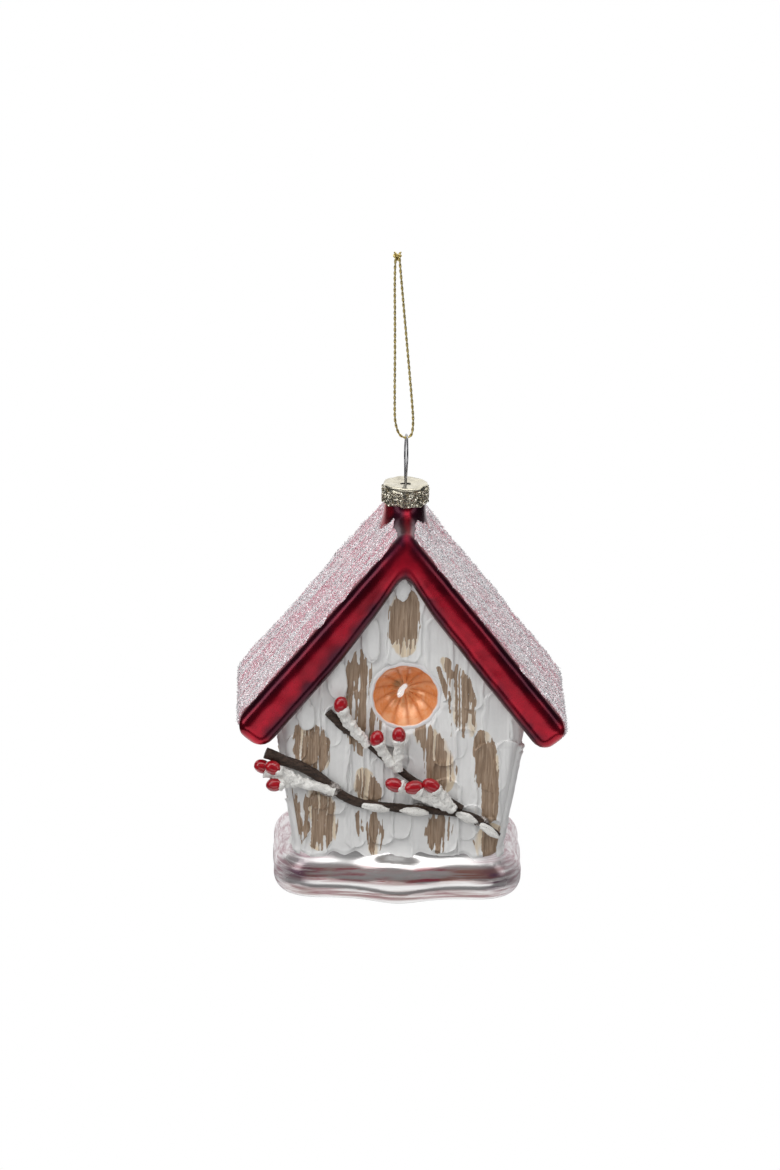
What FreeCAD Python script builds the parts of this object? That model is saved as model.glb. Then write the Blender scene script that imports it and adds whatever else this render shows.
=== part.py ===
"""A hanging blown-glass ornament shaped like a small birdhouse.

One hollow glass shell (base, walls, thick gabled roof, neck and a dished front disc) carries white
relief paint, snow on both roof slopes, two glued twigs and snowy berry picks. A crown cap with a
spring wire closes the neck, and a cord loop passes through the wire's eye.

Millimetres, +Z up, front towards -Y. The origin is the hang point, inside the top of the cord loop,
just under its knot. The house's own measures start at the middle of its underside.
"""

import FreeCAD, Part

import math
import os

import Sketcher
from FreeCAD import Rotation, Vector

SIZES = {
    # where the house hangs from the hang point: down the cord, and to the side
    "cord_drop": 48.3,
    "lean": 3.5,
    # glass shell
    "glass_wall": 1.0,
    "base_wide": 65.6,
    "base_deep": 50,
    "base_tall": 13,
    "base_corner": 11,
    "base_round": 5.2,
    "foot_level": 6.5,
    "foot_wide": 50.8,
    "shoulder_wide": 67.6,
    "house_deep": 39,
    "corner_round": 4,
    "apex_level": 98.4,
    "pitch": 51,
    "roof_thick": 8.4,
    "roof_half": 41.5,
    "roof_deep": 48,
    "roof_round": 3.2,
    "neck_wide": 11,
    "neck_rise": 11.9,
    "dish_wide": 16.7,
    "dish_deep": 6.5,
    "dish_level": 58,
    "dish_across": 0.8,
    "dish_rim": 1.2,
    # coats on the glass
    "paint_thick": 0.5,
    "snow_thick": 0.9,
    "snow_edge": 3.5,
    "snow_from": 5.2,
    "snow_short": 10.1,
    # cap and wire
    "cap_sheet": 0.3,
    "cap_gap": 0.3,
    "cap_tall": 5.4,
    "cap_seat": 0.2,
    "scallops": 8,
    "scallop_wide": 3.2,
    "scallop_deep": 0.9,
    "wire_thick": 0.5,
    "eye_gap": 0.12,
    "wire_yaw": 7,
    "hole_wide": 0.9,
    "hole_apart": 2.4,
    "eye_wide": 5.6,
    "eye_up": 7.9,
    "eye_tall": 13.145,
    "wire_straight": 2.6,
    "arch_wide": 2.4,
    "leg_apart": 7.2,
    "leg_long": 16,
    # cord
    "cord_thick": 0.75,
    "knot_wide": 2.8,
    # twigs and berries
    "lower_twig_thick": 2.6,
    "upper_twig_thick": 1.9,
    "spur_thick": 1.3,
    "stem_thick": 2,
    "berry_wide": 3.5,
    "berry_long": 4.3,
    "twig_gap": 0.3,
    "stem_bite": 0.15,
    "berry_forward": 1,
    "glue_bite": 0.25,
    # sizes that follow from the others
    "neck_level": "=apex_level + neck_rise",
    "cap_level": "=neck_level + cap_seat + cap_sheet",
    "arch_level": "=cap_level + eye_tall",
    "drop": "=arch_level - wire_thick / 2 - eye_gap - cord_thick / 2 + cord_drop",
    "snow_deep": "=roof_deep - 2 * snow_edge",
    "snow_to": "=(roof_half + roof_thick / 2 * sin(pitch)) / cos(pitch) - snow_short",
}

# The cord's route, down one strand, round under the wire's arch and up the other, for a drop of 48.3.
CORD_ROUTE = [
    (-0.5, 0, 0.9),
    (-0.7, 0, -2.6),
    (-0.14, 0.1, -21),
    (0.15, 0, -40.5),
    (0.4, 0, -44.6),
    (1.8, 0, -48.3),
    (4.8, 0, -48.3),
    (5.18, 0, -44.6),
    (4.93, 0, -40.5),
    (2.83, 0.1, -21),
    (0.86, 0, -2.6),
    (0.5, 0, 0.9),
]

# Twigs and picks: (across, up) from the middle of the house's underside.
LOWER_TWIG = [
    (-35.7, 42.2),
    (-25.1, 38.1),
    (-18.1, 33.8),
    (-12.5, 29.4),
    (-0.4, 27.9),
    (8.5, 26.8),
    (18, 26),
    (22.5, 23.5),
    (26.4, 20),
]
UPPER_TWIG = [(-19.4, 53.9), (-15.8, 49.3), (-9.2, 45.6), (-2.2, 39.3), (2.6, 35.2), (10.4, 31), (16.6, 27.4)]
UPPER_SPUR = [(-14.5, 48.3), (-16.3, 50.9), (-16.8, 53.3)]
# Berries are (across, up, tilt, how much further back than the rest).
PICKS = {
    "left": {
        "berries": [(-33.7, 38.9, 70, 0), (-36.5, 38.2, 60, 2.8), (-33.2, 34.2, 80, 0)],
        "stems": [
            [(-33.2, 38.2), (-31.2, 37), (-26.5, 34.9)],
            [(-35.8, 37.6), (-32.2, 36.2), (-26.5, 34.9)],
            [(-32.4, 34.2), (-29.6, 34.3), (-26.5, 34.9), (-17.4, 32)],
        ],
    },
    "high": {"berries": [(-16.2, 56.8, 10, 0)], "stems": [[(-16.1, 55.6), (-14.7, 52.2), (-11.4, 48.4), (-8.8, 45.2)]]},
    "middle": {
        "berries": [(-6.5, 47.5, 10, 0), (-0.75, 48.5, 0, 0)],
        "stems": [
            [(-6.4, 46.6), (-5, 43.2), (-0.6, 38.2)],
            [(-0.8, 47.6), (-0.9, 44), (-0.6, 38.2)],
        ],
    },
    "low": {
        "berries": [(-1.25, 34.5, 75, 0), (3.6, 34.1, 80, 0), (8.1, 34.6, 70, 0)],
        "stems": [
            [(-0.4, 34.2), (4.4, 32), (14.4, 27.5)],
            [(4.9, 33.6), (8.2, 31.3), (14.4, 27.5)],
            [(8.6, 34), (11.5, 31), (14.4, 27.5)],
        ],
    },
}
# Snow lying on the lower twig: (across, up, half its length, tilt from level).
TWIG_SNOW = [(-5.8, 27.8, 4.4, -6), (3.4, 26.3, 3.5, -5), (17.9, 24.3, 2.7, -18), (24, 21.2, 2.7, -42)]
TWIG_SNOW_THICK = 2.6
TWIG_SNOW_SINK = 0.4
# Glue under the twigs: (across, up, half its width, half its height).
GLUE_DABS = [(-18.4, 32.4, 2.4, 1.9), (5, 27.2, 2, 1.3), (21.6, 23.6, 1.8, 1.3)]

doc = FreeCAD.newDocument("birdhouse_ornament")
dims = doc.addObject("Spreadsheet::Sheet", "dims")
for row, (name, value) in enumerate(SIZES.items(), start=1):
    dims.set(f"A{row}", name)
    dims.set(f"B{row}", str(value))
    dims.setAlias(f"B{row}", name)
doc.recompute()

subparts = []


def size(name):
    """A driving size as a number, for the shapes that Part's own functions make."""
    return float(dims.get(name))


def keep(thing, label):
    """Marks a finished sub-part: its label names its file."""
    thing.Label = label
    subparts.append(thing)
    return thing


def bind(thing, **formulas):
    """Ties a thing's properties to the sheet. A double underscore stands for a dot."""
    for prop, formula in formulas.items():
        thing.setExpression(prop.replace("__", "."), formula)
    return thing


def on_house(thing, across="0", deep="0", up="0"):
    """Places a thing by the house's own measures."""
    return bind(
        thing,
        Placement__Base__x=f"dims.lean + {across}",
        Placement__Base__y=deep,
        Placement__Base__z=f"{up} - dims.drop",
    )


def outline(body, role, points):
    """A closed polygon sketch on one of the body's own planes, each corner tied to its two formulas."""
    plane = next(f for f in body.Origin.OriginFeatures if f.Role == role)
    sketch = body.newObject("Sketcher::SketchObject", "outline")
    sketch.AttachmentSupport = (plane, [""])
    sketch.MapMode = "FlatFace"
    spots = [[float(dims.evalExpression(formula)) for formula in point] for point in points]
    count = len(points)
    for i in range(count):
        start, end = Vector(*spots[i], 0), Vector(*spots[(i + 1) % count], 0)
        sketch.addGeometry(Part.LineSegment(start, end), False)
    for i in range(count):
        sketch.addConstraint(Sketcher.Constraint("Coincident", i, 2, (i + 1) % count, 1))
    for i, point in enumerate(points):
        for kind, axis, formula, value in zip(("DistanceX", "DistanceY"), (-2, -1), point, spots[i]):
            if formula == "0":
                sketch.addConstraint(Sketcher.Constraint("PointOnObject", i, 1, axis))
                continue
            index = sketch.addConstraint(Sketcher.Constraint(kind, -1, 1, i, 1, value))
            sketch.renameConstraint(index, f"corner{i}{kind}")
            sketch.setExpression(f"Constraints.corner{i}{kind}", formula)
    return sketch


def padded_body(name, role, points, length, symmetric):
    """A body with one padded outline, and the pad."""
    body = doc.addObject("PartDesign::Body", name)
    sketch = outline(body, role, points)
    pad = body.newObject("PartDesign::Pad", "block")
    pad.Profile = sketch
    pad.SideType = "Symmetric" if symmetric else "One side"
    bind(pad, Length=length)
    doc.recompute()
    return body, pad


def rounded(body, base, radius, wanted):
    """Rounds the edges of base that wanted() picks."""
    edges = [f"Edge{i}" for i, edge in enumerate(base.Shape.Edges, start=1) if wanted(edge)]
    fillet = body.newObject("PartDesign::Fillet", "round")
    fillet.Base = (base, edges)
    bind(fillet, Radius=radius)
    doc.recompute()
    return fillet


def boolean(kind, name, parts):
    """A Cut of two things or a MultiFuse of several."""
    thing = doc.addObject(f"Part::{kind}", name)
    if kind == "Cut":
        thing.Base, thing.Tool = parts
    else:
        thing.Shapes = parts
    return thing


def primitive(kind, name, **formulas):
    return bind(doc.addObject(f"Part::{kind}", name), **formulas)


# ---------------------------------------------------------------- the glass shell's blocks


def base_block(name, inset):
    """The slab under the house, rounded all over, smaller all round by inset."""
    half_wide, half_deep = f"(dims.base_wide / 2 - {inset})", f"(dims.base_deep / 2 - {inset})"
    corners = [(f"-{half_wide}", f"-{half_deep}"), (half_wide, f"-{half_deep}")]
    corners += [(half_wide, half_deep), (f"-{half_wide}", half_deep)]
    body, pad = padded_body(name, "XY_Plane", corners, f"dims.base_tall - 2 * {inset}", False)
    upright = rounded(body, pad, f"dims.base_corner - {inset}", lambda e: abs(e.tangentAt(0).z) > 0.9)
    rounded(body, upright, f"dims.base_round - {inset}", lambda e: abs(e.tangentAt(0).z) < 0.1)
    return on_house(body, up=inset)


def wall_block(name, inset):
    """The gabled house under the roof: it widens upwards, and its gable ends in the roof's middle."""
    foot, shoulder = f"(dims.foot_wide / 2 - {inset})", f"(dims.shoulder_wide / 2 - {inset})"
    eaves, top = f"dims.apex_level - {shoulder} * tan(dims.pitch)", "dims.apex_level"
    corners = [(f"-{foot}", "dims.foot_level"), (foot, "dims.foot_level"), (shoulder, eaves)]
    corners += [("0", top), (f"-{shoulder}", eaves)]
    body, pad = padded_body(name, "XZ_Plane", corners, f"dims.house_deep - 2 * {inset}", True)

    def side_corner(edge):
        direction = edge.tangentAt(0)
        return abs(direction.y) < 0.1 and abs(direction.z) > 0.9

    rounded(body, pad, f"dims.corner_round - {inset}", side_corner)
    return on_house(body)


def roof_block(name, inset):
    """The thick gabled roof, rounded at the ridge, at the eaves and along its outer outline."""
    half, sine, cosine = f"(dims.roof_thick / 2 - {inset})", "sin(dims.pitch)", "cos(dims.pitch)"
    run = f"(dims.roof_half - {inset})"
    end = f"(dims.apex_level - {run} * tan(dims.pitch))"
    outer = (f"({run} + {half} * {sine})", f"{end} + {half} * {cosine}")
    inner = (f"({run} - {half} * {sine})", f"{end} - {half} * {cosine}")
    corners = [("0", f"dims.apex_level + {half} / {cosine}"), outer, inner]
    corners += [("0", f"dims.apex_level - {half} / {cosine}")]
    corners += [(f"-{inner[0]}", inner[1]), (f"-{outer[0]}", outer[1])]
    body, pad = padded_body(name, "XZ_Plane", corners, f"dims.roof_deep - 2 * {inset}", True)
    ridge = size("apex_level")

    def outer_edge(edge):
        middle, direction = edge.CenterOfMass, edge.tangentAt(0)
        if abs(direction.y) > 0.9:
            return abs(middle.x) > 1 or middle.z > ridge
        slope_line = ridge - abs(middle.x) * math.tan(math.radians(size("pitch")))
        return middle.z > slope_line + 1

    rounded(body, pad, f"dims.roof_round - {inset}", outer_edge)
    return on_house(body)


def neck_block(name, inset):
    """The neck, from inside the roof's ridge up to its open rim."""
    start = "(dims.apex_level - dims.roof_thick / 4)"
    reach = "0" if inset == "0" else "1"
    neck = primitive(
        "Cylinder",
        name,
        Radius=f"dims.neck_wide / 2 - {inset}",
        Height=f"dims.neck_level - {start} + {reach}",
    )
    return on_house(neck, up=start)


def dish_ball(name, extra):
    """The ball whose cap dents the front wall, larger by extra."""
    ball = "((dims.dish_wide / 2) ^ 2 + dims.dish_deep ^ 2) / (2 * dims.dish_deep)"
    dish = primitive("Sphere", name, Radius=f"{ball} + {extra}")
    return on_house(
        dish,
        across="dims.dish_across",
        deep=f"-dims.house_deep / 2 + dims.dish_deep - {ball}",
        up="dims.dish_level",
    )


def solid_house(name, inset):
    makers = (base_block, wall_block, roof_block, neck_block)
    blocks = [maker(f"{name}_{maker.__name__}", inset) for maker in makers]
    return boolean("MultiFuse", name, blocks)


def glass_shell():
    """Outer form less the dented front disc, less the hollow inside that keeps clear of the dent."""
    filled = solid_house("outside", "0")
    dented = boolean("Cut", "dented", [filled, dish_ball("dish_outside", "0")])
    hollow = solid_house("inside", "dims.glass_wall")
    clear = boolean("Cut", "hollow", [hollow, dish_ball("dish_inside", "dims.glass_wall")])
    keep(boolean("Cut", "shell", [dented, clear]), "glass_body")
    return filled


def relief_paint(filled):
    """The raised paint all round the walls, under the roof and above the base, open at the disc."""
    coat = wall_block("paint_block", "(-dims.paint_thick)")
    window = primitive("Cylinder", "paint_window", Radius="dims.dish_wide / 2 + dims.dish_rim")
    bind(window, Height="dims.house_deep / 2")
    window.Placement.Rotation = Rotation(Vector(1, 0, 0), 90)
    on_house(window, across="dims.dish_across", deep="-dims.house_deep / 4", up="dims.dish_level")
    bare = boolean("Cut", "paint_ring", [coat, filled])
    keep(boolean("Cut", "paint", [bare, window]), "wall_paint")


def roof_snow(side):
    """The crust on one slope, side +1 right or -1 left, open round the neck."""
    top = "(dims.apex_level + dims.roof_thick / 2 / cos(dims.pitch))"
    start = "dims.snow_from" if side > 0 else "dims.snow_to"
    slab = primitive("Box", "snow_slab", Length="dims.snow_to - dims.snow_from", Width="dims.snow_deep")
    slab.Placement.Rotation = Rotation(Vector(0, 1, 0), 45)
    bind(slab, Height="dims.snow_thick", Placement__Rotation__Angle=f"{side} * dims.pitch")
    on_house(
        slab,
        across=f"{side} * {start} * cos(dims.pitch)",
        deep="-dims.snow_deep / 2",
        up=f"{top} - {start} * sin(dims.pitch)",
    )
    cap_outside = "dims.neck_wide / 2 + dims.cap_gap + dims.cap_sheet"
    well = primitive("Cylinder", "snow_well", Radius=f"{cap_outside} + dims.cap_gap", Height="60")
    on_house(well, up="dims.neck_level - 60")
    keep(boolean("Cut", "snow", [slab, well]), "roof_snow_right" if side > 0 else "roof_snow_left")


# ---------------------------------------------------------------- cap and wire


def crown_cap():
    """A thin cup over the neck, with a scalloped hem and two holes for the wire."""
    outside = "(dims.neck_wide / 2 + dims.cap_gap + dims.cap_sheet)"
    top = "dims.cap_level"
    cup = primitive("Cylinder", "cup", Radius=outside, Height="dims.cap_tall")
    on_house(cup, up=f"{top} - dims.cap_tall")
    bore = primitive("Cylinder", "cup_bore", Radius=f"{outside} - dims.cap_sheet", Height="dims.cap_tall")
    on_house(bore, up=f"{top} - dims.cap_tall - dims.cap_sheet")
    cuts = [bore]
    for i in range(int(size("scallops"))):
        notch = primitive("Cylinder", "scallop", Radius="dims.scallop_wide / 2", Height=f"2 * {outside}")
        turn = 360 * (i + 0.5) / size("scallops")
        notch.Placement.Rotation = Rotation(Vector(0, 0, 1), turn) * Rotation(Vector(0, 1, 0), 90)
        on_house(notch, up=f"{top} - dims.cap_tall - dims.scallop_wide / 2 + dims.scallop_deep")
        cuts.append(notch)
    for side in (-1, 1):
        hole = primitive("Cylinder", "wire_hole", Radius="dims.hole_wide / 2", Height="4 * dims.cap_sheet")
        on_house(
            hole,
            across=f"({side}) * dims.hole_apart / 2 * sin(dims.wire_yaw)",
            deep=f"({-side}) * dims.hole_apart / 2 * cos(dims.wire_yaw)",
            up=f"{top} - 2.5 * dims.cap_sheet",
        )
        cuts.append(hole)
    keep(boolean("Cut", "cap", [cup, boolean("MultiFuse", "cap_cuts", cuts)]), "cap")


def rounded_route(points):
    """Straight runs joined by the largest tangent arcs that the runs leave room for, and the radii."""
    edges, radii, start = [], [], points[0]
    for before, corner, after in zip(points, points[1:], points[2:]):
        into, out = (corner - before).normalize(), (after - corner).normalize()
        turn = into.getAngle(out)
        reach = 0.45 * min(before.distanceToPoint(corner), corner.distanceToPoint(after))
        radii.append(reach / math.tan(turn / 2))
        first, last = corner - into * reach, corner + out * reach
        towards = (out - into).normalize()
        apex = corner + towards * (radii[-1] / math.cos(turn / 2) - radii[-1])
        edges += [Part.LineSegment(start, first).toShape(), Part.Arc(first, apex, last).toShape()]
        start = last
    edges.append(Part.LineSegment(start, points[-1]).toShape())
    return Part.Wire(edges), radii


def rod(points, thick):
    """A round bar along a route; its volume has to be its section times its length."""
    route, radii = rounded_route(points)
    ring = Part.Wire(Part.makeCircle(thick / 2, points[0], points[1] - points[0]))
    bar = route.makePipeShell([ring], True, False)
    expected = math.pi * thick**2 / 4 * route.Length
    if not bar.isValid() or abs(bar.Volume - expected) > 0.02 * expected:
        raise RuntimeError(f"a rod of {route.Length:.1f} mm came out wrong")
    return bar, route.Length, radii


def feature(label, shape, house=True):
    """A sub-part whose shape comes from Part's own functions."""
    thing = doc.addObject("Part::Feature", label)
    thing.Shape = shape
    if house:
        on_house(thing)
    return keep(thing, label)


def hanger_wire():
    """One springy wire: an eye above the cap, straight where the cap slides, splayed legs in the neck."""
    top = size("cap_level")
    hole, eye, leg = size("hole_apart") / 2, size("eye_wide") / 2, size("leg_apart") / 2
    side = [
        (leg - 0.7, top - size("leg_long") - 1.6),
        (leg, top - size("leg_long")),
        (hole, top - 1.8),
        (hole, top + size("wire_straight")),
        (eye, top + size("eye_up")),
        (size("arch_wide") / 2, size("arch_level")),
    ]
    yaw = Rotation(Vector(0, 0, 1), size("wire_yaw"))
    flat = [(deep, up) for deep, up in side] + [(-deep, up) for deep, up in reversed(side)]
    points = [yaw.multVec(Vector(0, deep, up)) for deep, up in flat]
    bar, _, _ = rod(points, size("wire_thick"))
    feature("hanger_wire", bar)


def hang_cord():
    """The cord loop and the knot that closes it above the hang point."""
    stretch = size("cord_drop") / -min(z for _, _, z in CORD_ROUTE)
    route = [Vector(x, y, z if z > 0 else z * stretch) for x, y, z in CORD_ROUTE]
    tube, length, radii = rod(route, size("cord_thick"))
    print(f"cord {length:.1f} mm, radii", [round(radius, 1) for radius in radii])
    feature("hang_cord", tube, house=False)
    knot = primitive("Ellipsoid", "knot", Radius1="dims.knot_wide / 2 * 0.8")
    bind(knot, Radius2="dims.knot_wide / 2", Radius3="dims.knot_wide / 2 * 0.8")
    bind(knot, Placement__Base__z="dims.knot_wide / 2 * 0.8")
    keep(knot, "cord_knot")


# ---------------------------------------------------------------- twigs, berries, snow and glue


def front(extra):
    """How far forward of the house's middle plane a piece lies that is extra in front of the paint."""
    return -(size("house_deep") / 2 + size("paint_thick") + extra)


def in_front(flat, deep):
    return [Vector(across, deep, up) for across, up in flat]


def twigs():
    """The lower twig, and the upper one that is forked at its tip and ends on the lower."""
    low, high = size("lower_twig_thick"), size("upper_twig_thick")
    bar, _, _ = rod(in_front(LOWER_TWIG, front(size("twig_gap") + low / 2)), low)
    feature("lower_twig", bar)
    deep = front(size("twig_gap") + high / 2)
    branch, _, _ = rod(in_front(UPPER_TWIG, deep), high)
    spur, _, _ = rod(in_front(UPPER_SPUR, deep), size("spur_thick"))
    feature("upper_twig", branch.fuse(spur))


def ellipsoid(name, across, deep, up, halves, tilt=0):
    """An ellipsoid with its half sizes across, deep and up, tilted about the front-back axis."""
    thing = doc.addObject("Part::Ellipsoid", name)
    thing.Radius2, thing.Radius3, thing.Radius1 = halves
    thing.Placement.Rotation = Rotation(Vector(0, 1, 0), tilt)
    on_house(thing, across=str(across), deep=str(deep), up=str(up))
    return keep(thing, name)


def picks():
    """Each pick is a group of berries on snowy wire stems that run together."""
    stem_deep = front(size("twig_gap") + size("upper_twig_thick") - size("stem_bite") + size("stem_thick") / 2)
    round_half, long_half = size("berry_wide") / 2, size("berry_long") / 2
    for name, pick in PICKS.items():
        rods = [rod(in_front(stem, stem_deep), size("stem_thick"))[0] for stem in pick["stems"]]
        feature(f"{name}_stems", rods[0].multiFuse(rods[1:]) if len(rods) > 1 else rods[0])
        for number, (across, up, tilt, back) in enumerate(pick["berries"], start=1):
            halves = (round_half, round_half, long_half)
            deep = stem_deep - size("berry_forward") + back
            ellipsoid(f"{name}_berry_{number}", across, deep, up, halves, tilt)


def snow_and_glue():
    deep = front(size("twig_gap") + size("lower_twig_thick"))
    for number, (across, up, half, tilt) in enumerate(TWIG_SNOW, start=1):
        halves = (half, TWIG_SNOW_THICK / 2, TWIG_SNOW_THICK / 2)
        ellipsoid(f"twig_snow_{number}", across, deep + TWIG_SNOW_SINK, up, halves, -tilt)
    thick = size("twig_gap") + size("lower_twig_thick") / 2
    for number, (across, up, half_wide, half_tall) in enumerate(GLUE_DABS, start=1):
        halves = (half_wide, (thick + size("glue_bite")) / 2, half_tall)
        ellipsoid(f"glue_dab_{number}", across, front((thick - size("glue_bite")) / 2), up, halves)


def write_files():
    """Checks every object and every sub-part, then writes one STEP file for each."""
    doc.recompute()
    failed = [thing.Name for thing in doc.Objects if {"Invalid", "Error"} & set(thing.State)]
    failed += [s.Label for s in subparts if s.Shape.isNull() or not s.Shape.isValid()]
    if failed:
        raise RuntimeError(f"these did not build: {failed}")
    os.makedirs("parts", exist_ok=True)
    for subpart in subparts:
        subpart.Shape.exportStep(f"parts/{subpart.Label}.step")
        print(f"{subpart.Label}: {len(subpart.Shape.Solids)} solid, {subpart.Shape.Volume:.1f} mm3")


filled_house = glass_shell()
relief_paint(filled_house)
for slope in (-1, 1):
    roof_snow(slope)
crown_cap()
hanger_wire()
hang_cord()
twigs()
picks()
snow_and_glue()
write_files()
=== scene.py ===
"""A blown-glass birdhouse ornament with snowy roof, brushed relief paint, twigs and berries.

Shapes are worked out in millimetres from the middle of the house's underside (x across, y back,
z up) and written into the frame's metres by place().
"""

import math

import bpy
import numpy as np
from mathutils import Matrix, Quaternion, Vector


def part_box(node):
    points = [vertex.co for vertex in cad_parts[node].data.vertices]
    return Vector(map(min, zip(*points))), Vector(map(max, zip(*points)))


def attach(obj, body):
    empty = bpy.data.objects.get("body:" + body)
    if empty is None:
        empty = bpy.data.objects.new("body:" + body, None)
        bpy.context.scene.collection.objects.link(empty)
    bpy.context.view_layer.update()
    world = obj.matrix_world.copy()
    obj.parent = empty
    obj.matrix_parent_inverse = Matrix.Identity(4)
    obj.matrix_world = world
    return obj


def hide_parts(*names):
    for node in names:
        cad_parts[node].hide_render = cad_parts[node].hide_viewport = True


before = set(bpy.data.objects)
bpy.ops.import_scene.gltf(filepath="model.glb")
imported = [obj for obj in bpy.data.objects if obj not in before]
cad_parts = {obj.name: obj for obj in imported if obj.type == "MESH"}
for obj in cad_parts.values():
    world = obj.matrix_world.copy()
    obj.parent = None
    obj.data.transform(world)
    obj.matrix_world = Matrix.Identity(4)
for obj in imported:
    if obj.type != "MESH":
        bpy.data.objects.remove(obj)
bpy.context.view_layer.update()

MM = 0.001
FULL_TURN = 2 * math.pi
glass_low, glass_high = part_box("glass_body")
HOUSE = np.array([(glass_low.x + glass_high.x) / 2, (glass_low.y + glass_high.y) / 2, glass_low.z])

# ---- the house's own sizes in millimetres: the CAD's, but for the rounding of the roof and the base
PITCH = math.radians(51)
SIN, COS, TAN = math.sin(PITCH), math.cos(PITCH), math.tan(PITCH)
APEX = 98.4
ROOF_HALF_THICK = 4.2
ROOF_END = 41.8 / COS
ROOF_HALF_DEEP = 24.0
ROOF_ROUND = 3.6
WALL_HALF_DEEP = 19.5
WALL_CORNER = 4.0
FOOT_LEVEL, FOOT_HALF, WALL_SLANT = 6.5, 25.4, 0.168
BASE_HALF_WIDE, BASE_HALF_DEEP, BASE_TALL = 32.8, 25.0, 13.0
BASE_CORNER, BASE_ROUND = 12.0, 5.6
NECK_RADIUS, NECK_BORE, NECK_TOP = 5.5, 4.5, 110.3
DISH_RADIUS, DISH_DEEP, DISH_LEVEL, DISH_ACROSS = 8.35, 6.5, 58.0, 0.8


def place(points):
    """Millimetres in the house's own measures to metres in the frame."""
    return np.asarray(points, float) * MM + HOUSE


def around(count):
    """Angles evenly spaced round a full turn."""
    return np.linspace(0, FULL_TURN, count, endpoint=False)


def spin(angle):
    """The matrix that turns points about z."""
    c, s = math.cos(angle), math.sin(angle)
    return np.array([[c, -s, 0], [s, c, 0], [0, 0, 1]])


# ---- camera


def aim(thing, target, azimuth, elevation, distance, roll=0.0):
    """Puts a thing away from a target, azimuth 0 being straight in front, and faces it to the target."""
    turn, rise = math.radians(azimuth), math.radians(elevation)
    away = Vector((math.sin(turn) * math.cos(rise), -math.cos(turn) * math.cos(rise), math.sin(rise)))
    bpy.context.scene.collection.objects.link(thing)
    thing.location = Vector(place(target)) + away * distance
    thing.rotation_mode = "QUATERNION"
    thing.rotation_quaternion = (-away).to_track_quat("-Z", "Y") @ Quaternion((0, 0, 1), math.radians(roll))


def make_camera():
    view_height, sensor, distance = 0.310, 36.0, 2.0
    camera = bpy.data.objects.new("camera", bpy.data.cameras.new("camera"))
    aim(camera, [-3.45, 0, 82.2], -1.3, 18.5, distance, roll=1.35)
    camera.data.sensor_width = sensor
    camera.data.lens = sensor * distance / view_height
    camera.data.clip_start, camera.data.clip_end = 0.01, 50
    bpy.context.scene.camera = camera


# ---- noise


def lattice(i, j, k, seed):
    """A repeatable random number from 0 to 1 for each lattice point."""
    with np.errstate(over="ignore"):
        mixed = i * np.uint32(374761393) + j * np.uint32(668265263) + k * np.uint32(2147483647)
        mixed = mixed + np.uint32(seed * 144665 + 1013)
        mixed = (mixed ^ (mixed >> np.uint32(13))) * np.uint32(1274126177)
        mixed = (mixed ^ (mixed >> np.uint32(16))) * np.uint32(2246822519)
        mixed = mixed ^ (mixed >> np.uint32(15))
    return mixed.astype(np.float64) / 4294967295.0


def noise(x, y, z, seed):
    """Smooth value noise from -1 to 1, one unit per lattice cell."""
    x, y, z = np.broadcast_arrays(*(np.asarray(c, float) for c in (x, y, z)))
    cells = [np.floor(c) for c in (x, y, z)]
    fractions = [c - cell for c, cell in zip((x, y, z), cells)]
    fx, fy, fz = (f * f * (3 - 2 * f) for f in fractions)
    i, j, k = (cell.astype(np.int64).astype(np.uint32) for cell in cells)
    steps, total = (np.uint32(0), np.uint32(1)), 0
    for di, wx in zip(steps, (1 - fx, fx)):
        for dj, wy in zip(steps, (1 - fy, fy)):
            for dk, wz in zip(steps, (1 - fz, fz)):
                total = total + wx * wy * wz * lattice(i + di, j + dj, k + dk, seed)
    return total * 2 - 1


def layered(x, y, z, seed):
    """Noise in three layers, each finer and half as strong as the one before."""
    total = 0
    for layer in range(3):
        total = total + 0.5**layer * noise(x * 2**layer, y * 2**layer, z * 2**layer, seed + 17 * layer)
    return total / 1.75


def ramp(value, start, end):
    """0 before start, 1 after end and smooth between; start may be above end."""
    share = np.clip((value - start) / (end - start), 0, 1)
    return share * share * (3 - 2 * share)


# ---- solid fields


def round_max(radius, *planes):
    """The space inside every plane, with its edges rounded."""
    pushed = [plane + radius for plane in planes]
    outside = np.sqrt(sum(np.maximum(p, 0) ** 2 for p in pushed))
    return outside + np.minimum(np.maximum.reduce(pushed), 0) - radius


def melt(a, b, width):
    """Two fields joined with a soft fillet."""
    share = np.clip(0.5 + 0.5 * (b - a) / width, 0, 1)
    return b * (1 - share) + a * share - width * share * (1 - share)


def round_plan(x, y, half_wide, half_deep, corner):
    """An upright block's plan with rounded corners."""
    across, along = np.abs(x) - half_wide + corner, np.abs(y) - half_deep + corner
    outside = np.hypot(np.maximum(across, 0), np.maximum(along, 0))
    return outside + np.minimum(np.maximum(across, along), 0) - corner


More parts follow.
